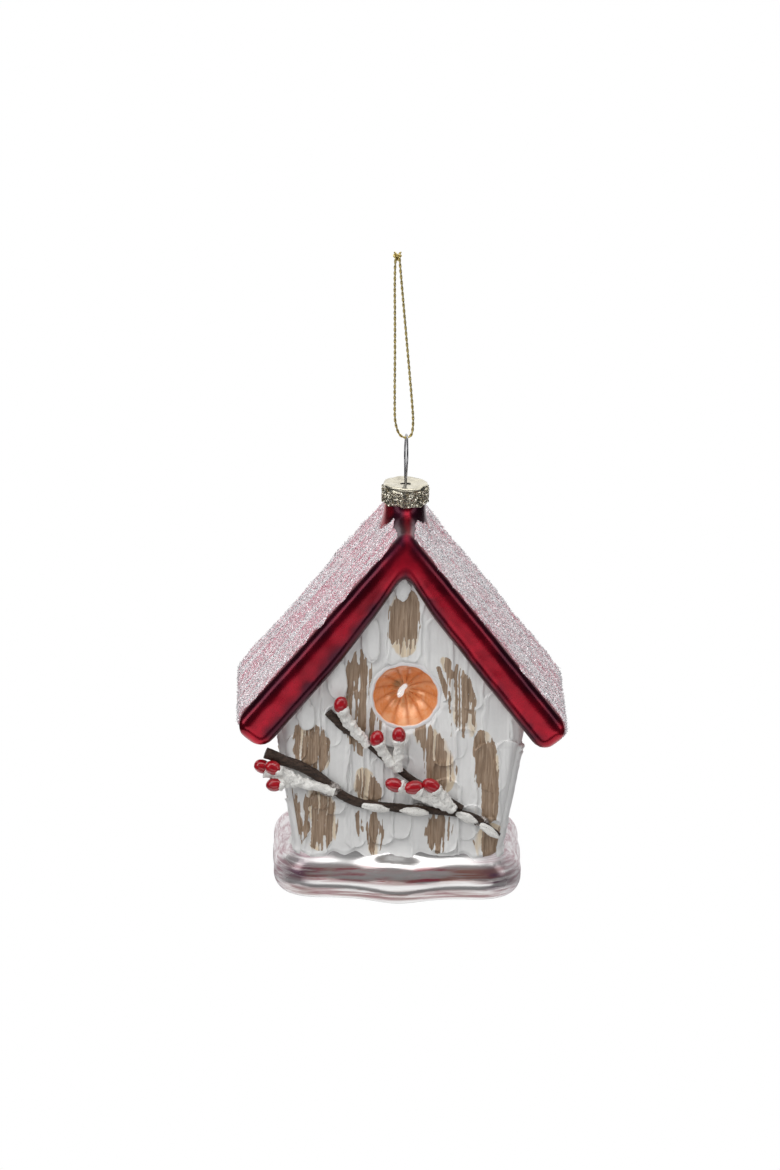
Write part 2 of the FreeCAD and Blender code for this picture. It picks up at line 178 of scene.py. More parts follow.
def roof_field(x, y, z):
    """The gabled roof slab with the neck melted in to it and the neck's bore."""
    up = z - APEX
    right, left = x * SIN + up * COS, -x * SIN + up * COS
    fuller = 1.3 * ramp(np.abs(x), 0, 9) + 1.3 * ramp(-x, 6, 20) + 0.4 * ramp(x, 10, 24)
    under = melt(-right, -left, 3.0) - ROOF_HALF_THICK - fuller
    end = np.abs(x) * COS - up * SIN - ROOF_END
    sag = 0.16 * noise(x / 13, y / 13, z / 13, 5) + 0.05 * noise(x / 4, y / 4, z / 4, 6)
    deep = np.abs(y) - ROOF_HALF_DEEP
    slab = round_max(ROOF_ROUND, right - ROOF_HALF_THICK, left - ROOF_HALF_THICK, under, end, deep) + sag
    bulb = ROOF_HALF_THICK + fuller / 2
    past = end + bulb
    rounded = np.hypot(np.maximum(right, left) + fuller / 2, np.maximum(past, 0)) - bulb
    slab = np.where(past > 0, np.maximum(slab, rounded), slab)
    reach = np.hypot(x, y)
    neck = round_max(0.4, reach - NECK_RADIUS, z - NECK_TOP, 94 - z)
    bore = np.maximum(reach - NECK_BORE, 97 - z)
    return np.maximum(melt(slab, neck, 4.5), -bore)


def wall_half(z):
    """Half the width of the walls at a height."""
    return FOOT_HALF + WALL_SLANT * (z - FOOT_LEVEL)


def roof_under(across):
    """The level of the roof's plain underside at a distance from the middle."""
    return APEX - across * TAN - ROOF_HALF_THICK / COS


def walls_field(x, y, z):
    """The leaning walls, up to the roof's middle plane."""
    up = z - APEX
    gable = np.maximum(x * SIN + up * COS, -x * SIN + up * COS)
    plan = round_plan(x, y, wall_half(z), WALL_HALF_DEEP, WALL_CORNER)
    return np.maximum(np.maximum(plan * 0.986, gable), 5 - z)


def base_field(x, y, z):
    """The pillowy slab: its front and back bulge at the middle and ripple along."""
    bulge = np.exp(-((x / 9.0) ** 2))
    ripple = 0.8 * np.cos(x / BASE_HALF_WIDE * FULL_TURN) * np.exp(-((x / 30) ** 4))
    half_deep = BASE_HALF_DEEP - 1.2 + 1.5 * bulge + 0.4 * ripple
    wave = 0.7 * np.cos(x / 19 * FULL_TURN + 0.6) * np.exp(-((x / 24) ** 4)) * ramp(np.abs(y), 17, 25)
    top = BASE_TALL - 0.2 * bulge * ramp(np.abs(y), 19, 25) + 0.2 * noise(x / 9, y / 9, 0, 11) + wave
    lift = 1.1 * (1 - bulge) * ramp(np.abs(y), 12, 24)
    plan = round_plan(x, y, BASE_HALF_WIDE + 0.3 * noise(y / 8, 0, 0, 12), half_deep, BASE_CORNER)
    return round_max(BASE_ROUND, plan, z - top, lift - z)


def dish_field(x, y, z):
    """The ball that hollows out the dent, a little behind the disc."""
    ball, behind = (DISH_RADIUS**2 + DISH_DEEP**2) / (2 * DISH_DEEP), 0.8
    deep = y + WALL_HALF_DEEP - DISH_DEEP + ball
    return np.sqrt((x - DISH_ACROSS) ** 2 + deep**2 + (z - DISH_LEVEL) ** 2) - ball - behind


def plain_lower_field(x, y, z):
    """Base and walls without the dent, for the paint to lie on."""
    return melt(base_field(x, y, z), walls_field(x, y, z), 3.5)


def lower_field(x, y, z):
    """Base and walls, blown as one, with the dent for the disc."""
    return np.maximum(plain_lower_field(x, y, z), -dish_field(x, y, z))


def gradient(field, points):
    """The slope of a field at each point."""
    step = 0.02
    slopes = [field(*(points + shift).T) - field(*(points - shift).T) for shift in np.eye(3) * step]
    return np.stack(slopes, 1) / (2 * step)


def field_mesh(field, low, high, step):
    """The surface where a field is zero, as vertices and quads (naive surface nets, then refined)."""
    counts = [int(math.ceil((b - a) / step)) + 1 for a, b in zip(low, high)]
    axes = [low[a] + step * np.arange(counts[a]) for a in range(3)]
    values = field(*np.meshgrid(*axes, indexing="ij"))
    inside = values < 0
    corners = [(i, j, k) for i in (0, 1) for j in (0, 1) for k in (0, 1)]

    def corner(array, c):
        return array[tuple(slice(o, o + n - 1) for o, n in zip(c, counts))]

    filled = sum(corner(inside, c).astype(np.int8) for c in corners)
    active = (filled > 0) & (filled < 8)
    number = np.full(active.shape, -1, np.int64)
    number[active] = np.arange(active.sum())
    cells = np.argwhere(active)
    crossing, hits = np.zeros((len(cells), 3)), np.zeros(len(cells))
    for a in corners:
        for axis in range(3):
            if a[axis]:
                continue
            b = tuple(1 if n == axis else o for n, o in enumerate(a))
            va, vb = corner(values, a)[active], corner(values, b)[active]
            cut = (va < 0) != (vb < 0)
            share = np.where(cut, va / np.where(cut, va - vb, 1), 0)
            spot = np.tile(np.array(a, float), (len(cells), 1))
            spot[:, axis] = share
            crossing += np.where(cut[:, None], spot, 0)
            hits += cut
    points = np.array(low) + step * (cells + crossing / hits[:, None])
    faces = []
    for axis in range(3):
        u, v = [n for n in range(3) if n != axis]
        ahead, behind = [slice(None)] * 3, [slice(None)] * 3
        ahead[axis], behind[axis] = slice(1, None), slice(None, -1)
        start, end = inside[tuple(behind)], inside[tuple(ahead)]
        edges = np.argwhere(start != end)
        for n in (u, v):
            edges = edges[(edges[:, n] > 0) & (edges[:, n] < counts[n] - 1)]
        outward = start[tuple(edges.T)]
        ring = []
        for du, dv in ((1, 1), (0, 1), (0, 0), (1, 0)):
            cell = edges.copy()
            cell[:, u] -= du
            cell[:, v] -= dv
            ring.append(number[tuple(cell.T)])
        quad = np.stack(ring, 1)
        flip = outward if axis == 1 else ~outward
        quad[flip] = quad[flip][:, ::-1]
        faces.append(quad)
    for _ in range(2):
        slope = gradient(field, points)
        size = np.maximum((slope**2).sum(1), 0.1)
        move = slope * (field(*points.T) / size)[:, None]
        points = points - np.clip(move, -step / 2, step / 2)
    return points, np.concatenate(faces)


def land(field, start, direction, reach):
    """Walks each start point along its direction until it meets the field."""
    travelled = np.zeros(start.shape[:-1])
    for _ in range(26):
        gap = field(*np.moveaxis(start + direction * travelled[..., None], -1, 0))
        travelled = np.minimum(travelled + gap * 0.9, reach)
    return start + direction * travelled[..., None]


# ---- meshes


def new_object(name, points, faces, material, node, body="house", smooth=True):
    """A mesh in the frame's metres, from arrays of points and of equal-sided faces, for one CAD node."""
    mesh = bpy.data.meshes.new(name)
    points, faces = np.asarray(points, np.float32).reshape(-1, 3), np.asarray(faces, np.int32)
    sides = faces.shape[1]
    mesh.vertices.add(len(points))
    mesh.vertices.foreach_set("co", points.ravel())
    mesh.loops.add(faces.size)
    mesh.loops.foreach_set("vertex_index", faces.ravel())
    mesh.polygons.add(len(faces))
    mesh.polygons.foreach_set("loop_start", np.arange(0, faces.size, sides, dtype=np.int32))
    mesh.update(calc_edges=True)
    mesh.validate()
    mesh.polygons.foreach_set("use_smooth", np.full(len(mesh.polygons), smooth))
    mesh.materials.append(material)
    thing = bpy.data.objects.new(name, mesh)
    bpy.context.scene.collection.objects.link(thing)
    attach(thing, body)
    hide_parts(node)
    return thing


def give(thing, **channels):
    """Numbers for the first points of a mesh that its material reads as attributes; the others get 0."""
    for name, values in channels.items():
        filled = np.zeros(len(thing.data.vertices), np.float32)
        filled[: values.size] = values.ravel()
        layer = thing.data.attributes.new(name, "FLOAT", "POINT")
        layer.data.foreach_set("value", filled)


def grid_faces(rows, columns, wrap=False, start=0):
    """Quads between rows of points; wrap closes each row in to a ring."""
    index = start + np.arange(rows * columns).reshape(rows, columns)
    following = np.roll(index, -1, 1) if wrap else index[:, 1:]
    here = index if wrap else index[:, :-1]
    return np.stack([here[:-1], following[:-1], following[1:], here[1:]], -1).reshape(-1, 4)


def rim_of(index):
    """The indices round the edge of a grid, in order."""
    return np.concatenate([index[0, :-1], index[:-1, -1], index[-1, :0:-1], index[:0:-1, 0]])


def halved(quads):
    """Each quad as two triangles."""
    return np.concatenate([quads[:, [0, 1, 2]], quads[:, [0, 2, 3]]])


def end_fans(sides, count):
    """Triangles that close both ends of a stack of rings of count points, on the two points after them."""
    ring, last = np.arange(sides), count - sides
    after = np.roll(ring, -1)
    start = np.stack([after, ring, np.full(sides, count)], 1)
    return np.concatenate([start, np.stack([ring + last, after + last, np.full(sides, count + 1)], 1)])


def closed_sheet(top, bottom):
    """Two grids of points as one closed skin: the top, the underside and the rim between."""
    rows, columns = top.shape[:2]
    count = rows * columns
    upper, lower = grid_faces(rows, columns), grid_faces(rows, columns, start=count)[:, ::-1]
    rim = rim_of(np.arange(count).reshape(rows, columns))
    following = np.roll(rim, -1)
    sides = np.stack([following, rim, rim + count, following + count], 1)
    return np.concatenate([top.reshape(-1, 3), bottom.reshape(-1, 3)]), np.concatenate([upper, lower, sides])


def ring_frames(path):
    """Two directions square to a path at each of its points, turning as little as they can."""
    along = np.gradient(path, axis=0)
    along /= np.linalg.norm(along, axis=1)[:, None]
    first = np.zeros_like(path)
    guess = np.cross(along[0], [0.3, 0.2, 1.0])
    for i, direction in enumerate(along):
        guess = guess - direction * (guess @ direction)
        guess = guess / np.linalg.norm(guess)
        first[i] = guess
    return first, np.cross(along, first)


def tube(path, radius, sides=12, shape=None):
    """A closed tube round a path; radius is one number or one a point; shape(t, angle) scales it."""
    across, over = ring_frames(path)
    angle = around(sides)
    size = np.broadcast_to(radius, len(path))[:, None] * np.ones(sides)
    if shape is not None:
        size = size * shape(np.linspace(0, 1, len(path))[:, None], angle)
    round_path = np.cos(angle)[:, None] * across[:, None] + np.sin(angle)[:, None] * over[:, None]
    rings = path[:, None] + size[..., None] * round_path
    points = np.concatenate([rings.reshape(-1, 3), path[:1], path[-1:]])
    wall = halved(grid_faces(len(path), sides, wrap=True))
    return points, np.concatenate([wall, end_fans(sides, len(path) * sides)])


def run_along(path):
    """How far along a path each of its points is."""
    return np.concatenate([[0], np.cumsum(np.linalg.norm(np.diff(path, axis=0), axis=1))])


def curve_through(points, count):
    """A smooth line with the points as its controls, read back evenly spaced."""
    data = bpy.data.curves.new("route", "CURVE")
    data.dimensions = "3D"
    spline = data.splines.new("NURBS")
    spline.points.add(len(points) - 1)
    for spot, point in zip(spline.points, points):
        spot.co = (*point, 1)
    spline.order_u = 3
    spline.use_endpoint_u = True
    spline.resolution_u = 24
    thing = bpy.data.objects.new("route", data)
    bpy.context.scene.collection.objects.link(thing)
    bpy.context.view_layer.update()
    mesh = bpy.data.meshes.new_from_object(thing)
    line = np.array([v.co for v in mesh.vertices])
    bpy.data.objects.remove(thing)
    bpy.data.curves.remove(data)
    bpy.data.meshes.remove(mesh)
    run = run_along(line)
    spots = np.linspace(0, run[-1], count)
    return np.stack([np.interp(spots, run, line[:, axis]) for axis in range(3)], 1), run[-1]


def tube_object(name, tubes, material, node, body="house"):
    """Several tubes as one object."""
    starts = np.cumsum([0] + [len(points) for points, faces in tubes])
    points = np.concatenate([points for points, faces in tubes])
    faces = np.concatenate([faces + start for (_, faces), start in zip(tubes, starts)])
    return new_object(name, points, faces, material, node, body)


def ball(rows=40, columns=48):
    """Unit directions on a sphere as a grid of rings with poles, and the faces between them."""
    polar, turn = np.linspace(0, math.pi, rows)[1:-1, None], around(columns)
    rings = [np.sin(polar) * np.cos(turn), np.sin(polar) * np.sin(turn), np.cos(polar) * np.ones(columns)]
    points = np.concatenate([np.stack(rings, -1).reshape(-1, 3), [[0, 0, 1], [0, 0, -1]]])
    quads = grid_faces(len(polar), columns, wrap=True)[:, ::-1]
    return points, np.concatenate([halved(quads), end_fans(columns, len(polar) * columns)[:, ::-1]])


def dished_sheet(top, rim_drop, heart):
    """One grid of points as a closed skin: its rim is dropped, then drawn together at one inner point."""
    rows, columns = top.shape[:2]
    rim = rim_of(np.arange(rows * columns).reshape(rows, columns))
    flat = top.reshape(-1, 3)
    dropped = flat[rim] + rim_drop.reshape(-1, 3)[rim]
    lower = np.arange(len(rim)) + len(flat)
    next_rim, next_lower = np.roll(rim, -1), np.roll(lower, -1)
    middle = np.full(len(rim), len(flat) + len(rim))
    sides = [(next_rim, rim, lower), (next_rim, lower, next_lower), (next_lower, lower, middle)]
    triangles = [halved(grid_faces(rows, columns))] + [np.stack(corners, 1) for corners in sides]
    return np.concatenate([flat, dropped, [heart]]), np.concatenate(triangles)


# ---- materials


class Paint:
    """A node material and short ways to add nodes to it."""

    def __init__(self, name, **settings):
        self.material = bpy.data.materials.new(name)
        self.material.use_nodes = True
        self.tree = self.material.node_tree
        self.surface = self.tree.nodes["Principled BSDF"]
        for key, value in settings.items():
            self.surface.inputs[key.replace("_", " ")].default_value = value

    def node(self, kind, links=None, **properties):
        made = self.tree.nodes.new(f"ShaderNode{kind}")
        for key, value in properties.items():
            setattr(made, key, value)
        for key, value in (links or {}).items():
            if isinstance(value, bpy.types.NodeSocket):
                self.tree.links.new(value, made.inputs[key])
            else:
                made.inputs[key].default_value = value
        return made

    def spots(self, stretch=(1, 1, 1), turn=(0, 0, 0)):
        """Object coordinates in millimetres times stretch: a small number draws the pattern out."""
        where = self.node("TexCoord").outputs["Object"]
        scale = tuple(s / MM for s in stretch)
        return self.node("Mapping", {"Vector": where, "Scale": scale, "Rotation": turn}).outputs["Vector"]

    def grain(self, scale, detail, rough, twist=0.0, **mapping):
        """Noise over the object, its mapping as in spots."""
        links = {"Vector": self.spots(**mapping), "Scale": scale, "Detail": detail}
        return self.node("TexNoise", links | {"Roughness": rough, "Distortion": twist}).outputs["Fac"]

    def band(self, value, low, high, to=(0.0, 1.0)):
        links = {"Value": value, "From Min": low, "From Max": high, "To Min": to[0], "To Max": to[1]}
        return self.node("MapRange", links).outputs["Result"]

    def blend(self, share, first, second):
        """From the first colour to the second as share goes from 0 to 1."""
        first, second = ((*tone, 1) if isinstance(tone, tuple) else tone for tone in (first, second))
        return self.node("Mix", {0: share, 6: first, 7: second}, data_type="RGBA").outputs[2]

    def fade(self, value, low, high, first, second):
        """From the first colour to the second as value goes from low to high."""
        return self.blend(self.band(value, low, high), first, second)

    def math(self, operation, *values):
        return self.node("Math", dict(enumerate(values)), operation=operation).outputs[0]

    def attribute(self, name):
        return self.node("Attribute", attribute_name=name).outputs["Fac"]

    def link(self, name, socket):
        self.tree.links.new(socket, self.surface.inputs[name])

    def colour(self, socket):
        self.link("Base Color", socket)

    def roughness(self, socket):
        self.link("Roughness", socket)

    def bump(self, height, strength, distance):
        links = {"Height": height, "Strength": strength, "Distance": distance * MM}
        self.link("Normal", self.node("Bump", links).outputs["Normal"])


def red_lacquer():
    paint = Paint("red_lacquer", Metallic=0.86, Roughness=0.3, Coat_Weight=0.2, Coat_Roughness=0.12)
    cloud = paint.grain(0.09, 3, 0.6, 0.6)
    fine = paint.grain(0.5, 4, 0.6)
    tone = paint.fade(cloud, 0.35, 0.65, (0.24, 0.003, 0.014), (0.5, 0.008, 0.028))
    tone = paint.blend(paint.band(fine, 0.45, 0.75, (0, 0.35)), tone, (0.24, 0.006, 0.02))
    # Painted shade: where pool is high the lacquer goes near-black. It is a painted dark reflection along the
    # roof band's edges and painted shade in the neck's throat.
    paint.colour(paint.blend(paint.attribute("pool"), tone, (0.03, 0.004, 0.016)))
    soft = paint.attribute("soft")
    paint.link("Coat Weight", paint.band(soft, 0.1, 0.6, (0.2, 0.0)))
    softer = paint.math("MULTIPLY", soft, 0.25)
    paint.roughness(paint.math("ADD", paint.band(cloud, 0.3, 0.7, (0.2, 0.3)), softer))
    paint.bump(paint.grain(0.5, 2, 0.5), 0.05, 0.2)
    return paint.material


def pearl_silver():
    """Silvered glass: brushed mauve along the base with a painted warm reflection in the same bands, dark
    blotches near its corners, frosted ends.
    """
    paint = Paint("pearl_silver", Coat_Weight=0.3, Coat_Roughness=0.15)
    frost, streaked, blotch = (paint.attribute(name) for name in ("frost", "streaked", "blotch"))
    streaks = paint.grain(1.0, 5, 0.65, 0.4, stretch=(0.07, 0.2, 1.3))
    cloud = paint.grain(0.12, 4, 0.6, 0.3)
    strength = paint.math("MULTIPLY", streaked, paint.band(streaks, 0.4, 0.55))
    silver = paint.fade(streaks, 0.35, 0.6, (0.86, 0.85, 0.84), (0.74, 0.72, 0.71))
    mauve = paint.fade(cloud, 0.42, 0.58, (0.27, 0.13, 0.11), (0.27, 0.06, 0.08))
    # Painted reflection: a warm brownish tint over the silver in the streaked bands, standing in for a warm
    # room mirrored there.
    silver = paint.blend(paint.math("MULTIPLY", streaked, 0.6), silver, (0.58, 0.47, 0.45))
    tone = paint.blend(strength, silver, mauve)
    icy = paint.fade(streaks, 0.42, 0.62, (0.84, 0.79, 0.8), (0.46, 0.26, 0.3))
    tone = paint.blend(frost, tone, icy)
    dark = paint.math("MULTIPLY", blotch, paint.band(streaks, 0.3, 0.5))
    paint.colour(paint.blend(dark, tone, (0.11, 0.05, 0.085)))
    worn = paint.math("MAXIMUM", frost, paint.math("MULTIPLY", strength, 0.75))
    worn = paint.math("MAXIMUM", worn, blotch)
    paint.link("Metallic", paint.band(worn, 0, 1, (0.72, 0.2)))
    paint.roughness(paint.band(frost, 0, 1, (0.17, 0.42)))
    paint.bump(streaks, 0.05, 0.2)
    return paint.material


def copper_disc():
    """Orange copper lacquer, darker in the flutes as painted shade, with a painted white highlight that glows
    faintly, a painted shadow by it and a silver rim.
    """
    white = (1.0, 0.99, 0.97)
    # The white emission colour is for the hot spot, a painted highlight that glows.
    paint = Paint("copper_disc", Coat_Weight=0.5, Coat_Roughness=0.12, Emission_Color=(*white, 1))
    rim, depth, bare = paint.attribute("rim"), paint.attribute("groove"), paint.attribute("bare")
    paint.link("Metallic", paint.band(bare, 0, 1, (0.22, 0.0)))
    paint.roughness(paint.band(rim, 0, 1, (0.25, 0.42)))
    fine = paint.grain(1.3, 5, 0.6, 0.3)
    cloud = paint.grain(0.3, 3, 0.6, 0.5)
    orange = paint.fade(fine, 0.35, 0.7, (0.87, 0.31, 0.1), (0.95, 0.43, 0.18))
    orange = paint.blend(paint.band(cloud, 0.42, 0.66, (0, 0.6)), orange, (0.98, 0.6, 0.36))
    # Painted shade: the orange darkens towards brown in the grooves between the petal flutes.
    orange = paint.blend(paint.math("MULTIPLY", depth, 0.5), orange, (0.5, 0.12, 0.03))
    # A painted shadow, dull olive brown, over the orange above and left of the hot spot.
    smudge = paint.band(paint.attribute("smudge"), 0.1, 0.8, (0, 0.75))
    orange = paint.blend(smudge, orange, (0.36, 0.24, 0.12))
    # The hot spot: a painted highlight, white and glowing faintly.
    orange = paint.fade(bare, 0.3, 0.55, orange, white)
    paint.link("Emission Strength", paint.band(bare, 0.3, 0.6, (0, 0.35)))
    paint.colour(paint.blend(rim, orange, (0.86, 0.83, 0.83)))
    paint.bump(fine, 0.08, 0.1)
    return paint.material


def relief_paint():
    """Warm white paste with taupe dry-brush strokes and a beige undertone where it is thin."""
    paint = Paint("relief_paint", Roughness=0.42, Coat_Weight=0.12, Coat_Roughness=0.3)
    brown, beige = paint.attribute("brown"), paint.attribute("beige")
    streaks = paint.grain(1.0, 5, 0.65, stretch=(2.6, 2.6, 0.14))
    cloud = paint.grain(0.16, 4, 0.6)
    white = paint.fade(cloud, 0.35, 0.7, (0.84, 0.835, 0.82), (0.76, 0.755, 0.745))
    white = paint.blend(beige, white, (0.74, 0.6, 0.42))
    taupe = paint.fade(streaks, 0.38, 0.66, (0.24, 0.155, 0.095), (0.45, 0.33, 0.235))
    cover = paint.math("ADD", brown, paint.band(streaks, 0.3, 0.7, (-0.3, 0.3)))
    paint.colour(paint.fade(cover, 0.4, 0.62, white, taupe))
    paint.roughness(paint.band(streaks, 0.3, 0.7, (0.36, 0.52)))
    paint.bump(paint.math("ADD", streaks, paint.grain(2.2, 4, 0.6)), 0.32, 0.14)
    return paint.material


def snow_crust():
    """Glittery crust: white where thick, the red glass tinting it where thin."""
    under = {"Subsurface_Weight": 0.15, "Subsurface_Radius": (0.002, 0.001, 0.001), "Subsurface_Scale": 0.5}
    paint = Paint("snow_crust", Roughness=0.55, Coat_Weight=0.25, Coat_Roughness=0.25, **under)
    thick = paint.attribute("thick")
    fine = paint.grain(2.6, 5, 0.7)
    whole = paint.band(paint.math("ADD", thick, paint.band(fine, 0.3, 0.7, (-0.25, 0.25))), 0.1, 0.85)
    pink = paint.blend(whole, (0.62, 0.22, 0.29), (0.96, 0.89, 0.91))
    grains = paint.node("TexVoronoi", {"Vector": paint.spots(), "Scale": 3.4}, feature="F1").outputs["Color"]
    split = paint.node("SeparateColor", {"Color": grains}).outputs["Red"]
    dark = paint.blend(paint.band(split, 0.78, 0.86, (0, 0.75)), pink, (0.36, 0.27, 0.3))
    paint.colour(paint.fade(split, 0.2, 0.12, dark, (0.97, 0.94, 0.96)))
    paint.roughness(paint.band(split, 0.0, 1.0, (0.25, 0.7)))
    paint.bump(paint.math("ADD", fine, split), 0.6, 0.25)
    return paint.material


def metal(name, colour, rough, bump_scale=1.0, bump=0.1, share=1.0):
    """A metal with a little cloudiness."""
    paint = Paint(name, Metallic=share, Roughness=rough)
    cloud = paint.grain(bump_scale, 4, 0.6)
    paint.colour(paint.fade(cloud, 0.35, 0.68, colour, tuple(c * 0.72 for c in colour)))
    paint.roughness(paint.band(cloud, 0.3, 0.7, (rough * 0.8, rough * 1.3)))
    paint.bump(cloud, bump, 0.15)
    return paint.material


def bark():
    paint = Paint("bark", Roughness=0.7)
    fibres = paint.grain(0.9, 7, 0.7, 0.8, stretch=(0.35, 2.2, 2.2), turn=(0, 0.45, 0))
    fine = paint.grain(2.4, 5, 0.7)
    dark = paint.fade(fibres, 0.35, 0.66, (0.01, 0.006, 0.0045), (0.085, 0.05, 0.034))
    paint.colour(paint.fade(fine, 0.55, 0.8, dark, (0.19, 0.14, 0.11)))
    paint.roughness(paint.band(fine, 0.3, 0.7, (0.5, 0.8)))
    paint.bump(paint.math("ADD", fibres, fine), 0.9, 0.45)
    return paint.material


def berry_skin():
    under = {"Subsurface_Weight": 0.08, "Subsurface_Radius": (0.001, 0.0002, 0.0002)}
    paint = Paint("berry_skin", Roughness=0.28, Coat_Weight=0.7, Coat_Roughness=0.08, **under)
    cloud = paint.grain(0.7, 4, 0.6)
    paint.colour(paint.fade(cloud, 0.35, 0.7, (0.42, 0.004, 0.012), (0.26, 0.003, 0.01)))
    paint.bump(paint.grain(2.0, 3, 0.5), 0.12, 0.15)
    return paint.material


def snow_paste():
    under = {"Subsurface_Weight": 0.12, "Subsurface_Radius": (0.001, 0.001, 0.001)}
    paint = Paint("snow_paste", Roughness=0.62, **under)
    fine = paint.grain(2.0, 6, 0.7)
    specks = paint.grain(3.6, 3, 0.6)
    white = paint.fade(fine, 0.3, 0.7, (0.86, 0.85, 0.82), (0.72, 0.7, 0.66))
    paint.colour(paint.fade(specks, 0.62, 0.7, white, (0.2, 0.17, 0.15)))
    paint.bump(fine, 0.6, 0.3)
    return paint.material


def clear_glue():
    paint = Paint("clear_glue", Roughness=0.14, Coat_Weight=1.0, Coat_Roughness=0.05, Metallic=0.15)
    fine = paint.grain(1.6, 5, 0.65)
    paint.colour(paint.fade(fine, 0.4, 0.62, (0.05, 0.032, 0.024), (0.42, 0.38, 0.35)))
    paint.bump(fine, 0.5, 0.3)
    return paint.material


RED = red_lacquer()
SILVER = pearl_silver()
COPPER = copper_disc()
RELIEF = relief_paint()
CRUST = snow_crust()
FLAKE = metal("glitter_flake", (0.95, 0.92, 0.94), 0.16, share=0.55)
CAP_METAL = metal("cap_metal", (0.8, 0.745, 0.6), 0.26, 0.8, 0.35)
CAP_GRIT = metal("cap_grit", (0.88, 0.83, 0.7), 0.2)
# Near-black: painted shade for the cap's slits.
SLIT = Paint("cap_slit", Base_Color=(0.02, 0.017, 0.014, 1), Roughness=0.6).material
WIRE = metal("spring_wire", (0.5, 0.5, 0.52), 0.24, 2.0)
GOLD = metal("gold_thread", (0.86, 0.71, 0.3), 0.24, 3.0, 0.3)
BARK = bark()
BERRY = berry_skin()
SNOW = snow_paste()
GLUE = clear_glue()

# ---- cord

# The route that the CAD's cord takes, in millimetres from the hang point.
CORD_ROUTE = [(-0.5, 0, 0.9), (-0.7, 0, -2.6), (-0.14, 0.1, -21), (0.15, 0, -40.5), (0.4, 0, -44.6)]
CORD_ROUTE += [(1.8, 0, -48.3), (4.8, 0, -48.3)]
CORD_ROUTE += [(5.18, 0, -44.6), (4.93, 0, -40.5), (2.83, 0.1, -21), (0.86, 0, -2.6), (0.5, 0, 0.9)]
CORD_THICK = 0.75


def twisted(path, thick, pitch):
    """Two strands that wind round a path, together as thick as the cord."""
    across, over = ring_frames(path)
    strands = []
    for start in (0, math.pi):
        angle = run_along(path) / pitch * FULL_TURN + start
        wound = np.cos(angle)[:, None] * across + np.sin(angle)[:, None] * over
        strands.append(tube(path + thick * 0.25 * wound, thick * 0.245, 8))
    return strands


def make_cord():
    path, length = curve_through(np.array(CORD_ROUTE) * MM, 620)
    strands = twisted(path, CORD_THICK * MM, 3.1 * MM)
    cord = tube_object("cord_strands", strands, GOLD, "hang_cord", "cord")
    make_knot()


def make_knot():
    """Both ends tied in one small overhand knot, with two short tails."""
    low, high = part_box("cord_knot")
    middle, half = np.array((low + high) / 2), np.array((high - low) / 2)
    turn = np.linspace(0, FULL_TURN * 0.96, 90)
    across, up = np.sin(turn) + 2 * np.sin(2 * turn), np.cos(turn) - 2 * np.cos(2 * turn)
    wind = np.stack([across, np.sin(3 * turn), up], 1) * np.array([0.23, 0.36, 0.22]) * half + middle
    strands = twisted(wind, CORD_THICK * MM, 2.4 * MM)
    for side in (-1, 1):
        start = middle + np.array([side * 0.2, 0, 0.3]) * MM
        steps = np.array([[0, 0, 0], [side * 0.3, 0.1, 0.6], [side * 0.75, 0.2, 0.95]]) * MM
        line, _ = curve_through(start + steps, 12)
        strands += twisted(line, CORD_THICK * 0.8 * MM, 2.4 * MM)
    return tube_object("cord_knot_tied", strands, GOLD, "cord_knot", "cord")


# ---- glass


